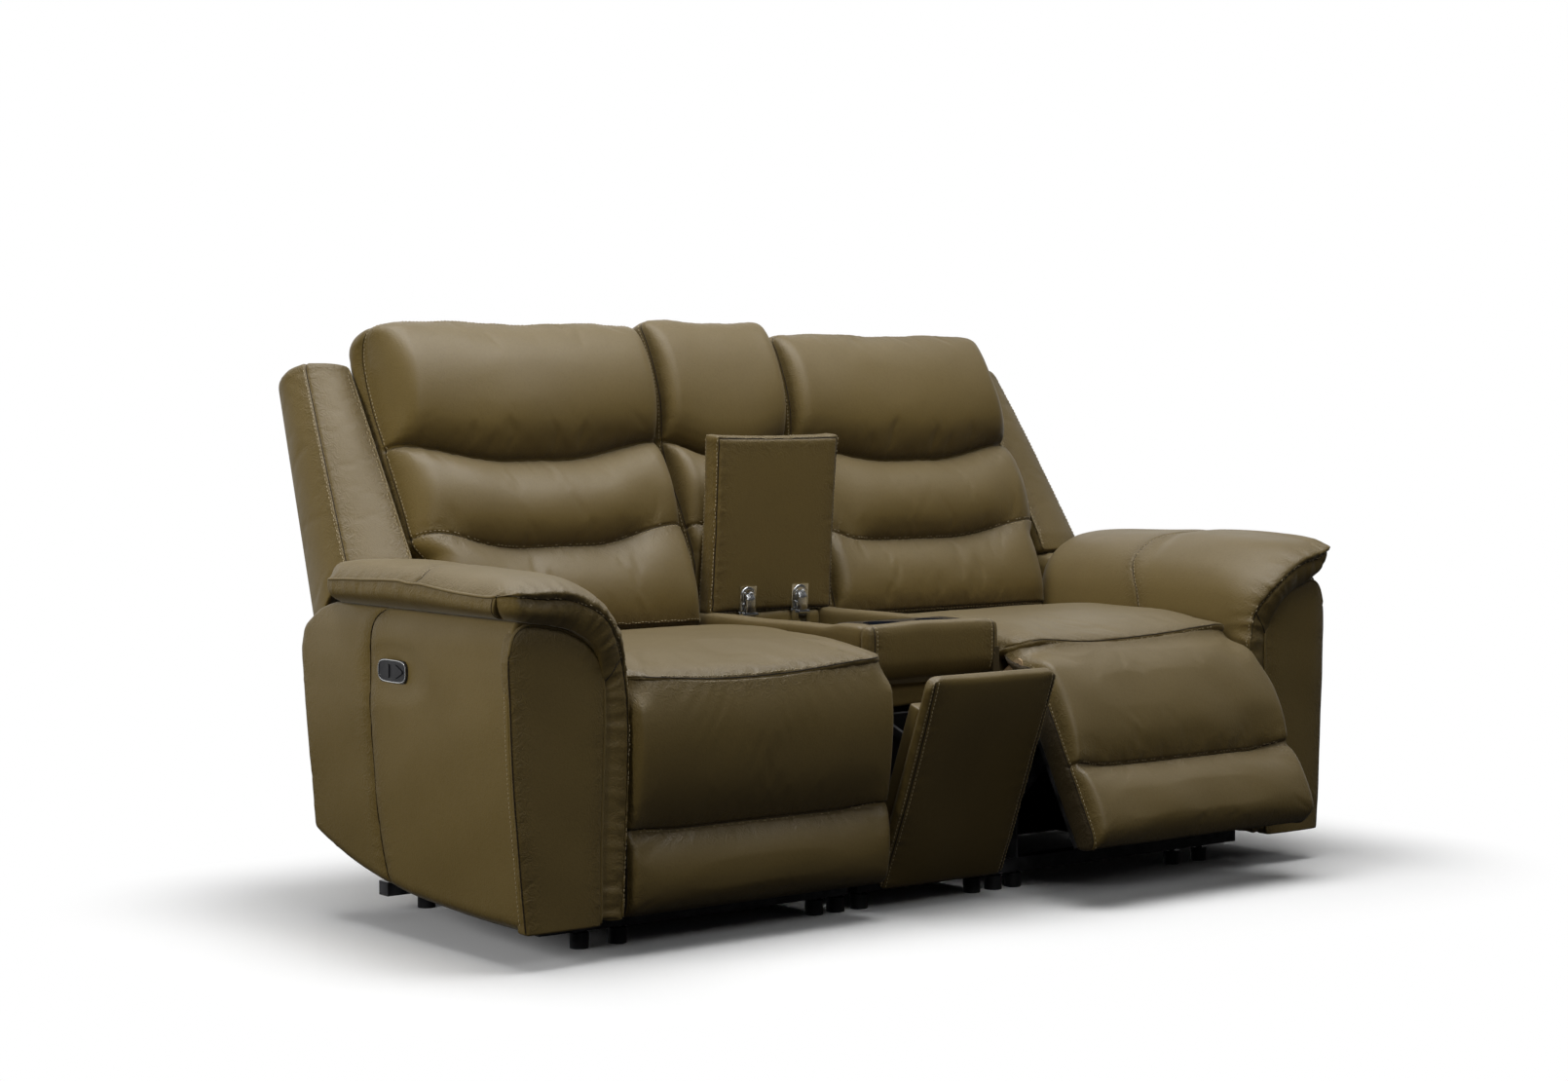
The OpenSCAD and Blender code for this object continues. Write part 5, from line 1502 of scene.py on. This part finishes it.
def disc(radius, thick, count, dish):
    # a flat round plate with a worn edge and a shallow dish in its face
    levels = [(radius, 0), (radius, thick * 0.7), (radius * 0.95, thick), (radius * 0.6, thick - dish),
              (radius * 0.2, thick - dish * 1.2)]
    points = [np.column_stack([circle(count) * r, np.full(count, z)]) for r, z in levels]
    index = np.arange(len(levels) * count).reshape(len(levels), count)
    faces = quads(np.concatenate([index, index[:, :1]], 1))[:, ::-1].tolist()
    around, middle = index[-1], index.size
    for i in range(0, count, 2):
        j, k = i + 1, (i + 2) % count
        faces += [[around[i], around[j], around[k], middle], [k, j, i, middle + 1]]
    return np.vstack(points + [[(0, 0, levels[-1][1]), (0, 0, 0)]]), faces


def makeHinge(word, side):
    # a screwed round plate and a bright bent link on the open lid
    form, heap = hingeForm, Heap()

    def add(points, faces):
        # x across, y up along the open lid, z out of its underside
        x, y, z = np.asarray(points, float).T
        heap.add(lidPlace(np.column_stack([x + side * form["x"], form["y"] - y, form["under"] - z])), faces)

    add(*disc(*form["plate"]))
    for dx, dy in form["screws"]:
        points, faces = disc(*form["screw"])
        add(points + (dx, dy, form["plate"][1] - form["sunk"]), faces)
    path = evenly([(0, y, z) for y, z in form["link"]], 0.003)[:, 1:]
    ribs = np.array([[(x * form["wide"], y, z + dz) for x, dz in form["rib"]] for y, z in path])
    index = np.arange(ribs.shape[0] * ribs.shape[1]).reshape(ribs.shape[:2])
    faces = quads(np.concatenate([index, index[:, :1]], 1))[:, ::-1].tolist()
    for row, flip in ((index[0], 1), (index[-1], -1)):
        faces += [[row[k] for k in cap][::flip] for cap in form["caps"]]
    add(ribs.reshape(-1, 3), faces)
    fit([heap.build(word + "_hinge_cover", chrome)], "console_lid")


doorForm = {"low": (-0.1490, 0.0545, 0.0530), "high": (0.1490, 0.0770, 0.4665), "edge": 0.0105,
            "divide": (40, 7, 58),
            "crown": 0.0075, "half": (0.149, 0.20675), "middle": 0.25975, "corner": 0.028,
            "atSeam": (0.022, 0.0055, 0.018, 0.0011), "seamX": 0.1395, "seamZ": (0.062, 0.460),
            "body": ((-0.1395, 0.079, 0.054), (0.1395, 0.1075, 0.398), 0.005, (18, 4, 30))}


def doorPlace(points):
    # from shut to tipped forward about its low pins
    return swung(placed(points), -openDoor, doorPin[0] - setback, doorPin[1])


def makeDoor():
    form = doorForm
    piece = boxPad("door_cushion", form["low"], form["high"], form["edge"], form["divide"])
    x, y, z = coordinates(piece).T
    ahead = 1 - ease(0.056, 0.072, y)
    y = y - ahead * form["crown"] * (1 - (x / 0.149) ** 4) * (1 - ((z - 0.26) / 0.2067) ** 6)
    # the outline is rounded at its corners
    wide, high = form["half"]
    corner = form["corner"]
    cx, cz = np.abs(x) - (wide - corner), np.abs(z - form["middle"]) - (high - corner)
    out = np.hypot(np.maximum(cx, 0), np.maximum(cz, 0)) / corner
    squeeze = np.where((cx > 0) & (cz > 0) & (out > 0.999), 1 / np.maximum(out, 1e-6), 1.0)
    x = x - np.sign(x) * np.maximum(cx, 0) * (1 - squeeze)
    z = z - np.sign(z - form["middle"]) * np.maximum(cz, 0) * (1 - squeeze)
    y = y + waves(np.column_stack([x, y, z]), 88, 0.13, 0.0009) * ahead
    setCoordinates(piece, doorPlace(np.column_stack([x, y, z])))
    refine(piece)
    surface, seams = surfaceOf(piece), []
    for x in (-form["seamX"], form["seamX"]):
        line = [(x * (1 - 0.017 * math.cos((z - 0.26) / 0.41 * math.pi)), 0.052,
                 z) for z in np.linspace(*form["seamZ"], 80)]
        seams.append(Seam(piece, onSurface(surface, doorPlace(line))))
    stitched = [(one.line, 0.0055, -0.0055) for one in seams]
    pieces = puckered("door_cushion", piece, seams, form["atSeam"], 75, (0.0024, 0.005), stitched)
    fit(pieces + [plainPad("door_body_cover", *form["body"], doorPlace)], "console_door")
    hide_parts("door_panel")


makeConsoleTop()
makeLid()
for word, side in sides:
    makeHinge(word, side)
makeDoor()
print("console made")


# rear covers and the cloth that closes the gap below them

coverForm = {"low": -0.040, "high": 0.528, "inward": 0.045, "skin": 0.0995, "crown": 0.006, "board": 0.0848,
             "columns": 40, "rows": 48, "atRim": (0.03, 0.006, 0.02, 0.0010)}


def makeBackCover(word, left, right, body, side, seed):
    # a padded sheet over the board behind a back
    form = coverForm
    u = np.linspace(0, 1, form["columns"] + 1)
    t = np.linspace(form["low"], form["high"], form["rows"] + 1)[:, None]
    inward = form["inward"] * (1 - roundOff(form["high"] - t, form["inward"]))
    x, t = left + inward + (right - left - 2 * inward) * u, t + 0 * u
    rim = np.minimum(np.minimum(x - left - inward, right - inward - x),
                     np.minimum(t - form["low"], form["high"] - t))
    n = form["skin"] + form["crown"] * roundOff(rim, 0.03) + flatWaves(x, t, seed, 0.25,
                                                                       0.0010) * roundOff(rim, 0.04)
    shape = padShape(onBack(x, t, n), onBack(x, t, form["board"]), rings=3, bulge=0.001)
    name = word + "_rear_cover"
    piece = softBody(name, shape, side, [(shape["rim"], 0.8)])
    rim = seamAt(piece, shape["rim"])
    pucker(piece, rim, form["atRim"], seed)
    markSeams(piece, [rim])
    fit([piece] + sewn(name, piece, [(rim.line[:-1], 0.008, -0.008)]), body)
    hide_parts(word + "_back_panel")


flapForm = {"low": (0.6445, 0.352), "high": (-0.030, 0.1035), "bow": 0.006, "thick": 0.0022, "columns": 30,
            "rows": 14}


def makeFlap(word, left, right, side, seed):
    # hangs from the lower edge of a back to the rear board
    form = flapForm
    u, s = np.linspace(0, 1, form["columns"] + 1), np.linspace(0, 1, form["rows"] + 1)[:, None]
    (lowY, lowZ), (_, highY, highZ) = form["low"], onBack(0.0, *form["high"])
    x, z = np.broadcast_arrays(left + (right - left) * u, lowZ + (highZ - lowZ) * s)
    y = lowY + (highY - lowY) * s + (form["bow"] + flatWaves(x, z, seed, 0.16, 0.0016)) * np.sin(math.pi * s)
    front = np.stack([x, y, z], -1)
    shape = padShape(front, front - (0, form["thick"], 0), rings=2, bulge=0.0004)
    piece = softBody(word + "_rear_flap", shape, side, [(shape["rim"], 0.8)])
    markSeams(piece, [seamAt(piece, shape["rim"])])
    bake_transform(piece)


for (word, side), seed in zip(sides, (81, 83)):
    makeBackCover(word, 0.172, 0.748, word + "_back", side, seed)
    makeFlap(word, 0.172, 0.756, side, seed + 4)
makeBackCover("center", -0.146, 0.146, "base", 1, 85)
print("rear covers made")


# finishes of the hard pieces; a name with a star stands for the left and the right one

finishes = {
    "blackSteel": ["*_base_frame", "console_base_frame", "*_mechanism_plates", "*_drive_link",
                   "*_coupler_links",
                   "actuator_rails", "*_carriage", "*_footrest_board"],
    "zincBolt": ["*_lead_screw"],
    "blackPlastic": ["floor_glides", "actuator_motors", "power_supply", "*_switch_plate", "*_recline_button",
                     "*_return_button", "door_bin"],
    "trayPlastic": ["cup_holder"],
    "chrome": ["lid_hinge_bases", "lid_hinge_leaves"],
    "plywood": ["*_seat_deck"],
    "elasticWebbing": ["seat_webbing"],
    "oliveLeather": ["rear_base_panel"],
    "liningAndShadeLeather": ["console_carcass", "*_back_frame", "center_back_frame"],
}
for finish, nodes in finishes.items():
    for node in {name.replace("*", word) for name in nodes for word, _ in sides}:
        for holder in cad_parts[node].material_slots:
            holder.material = bpy.data.materials[finish]
print("hard pieces finished")
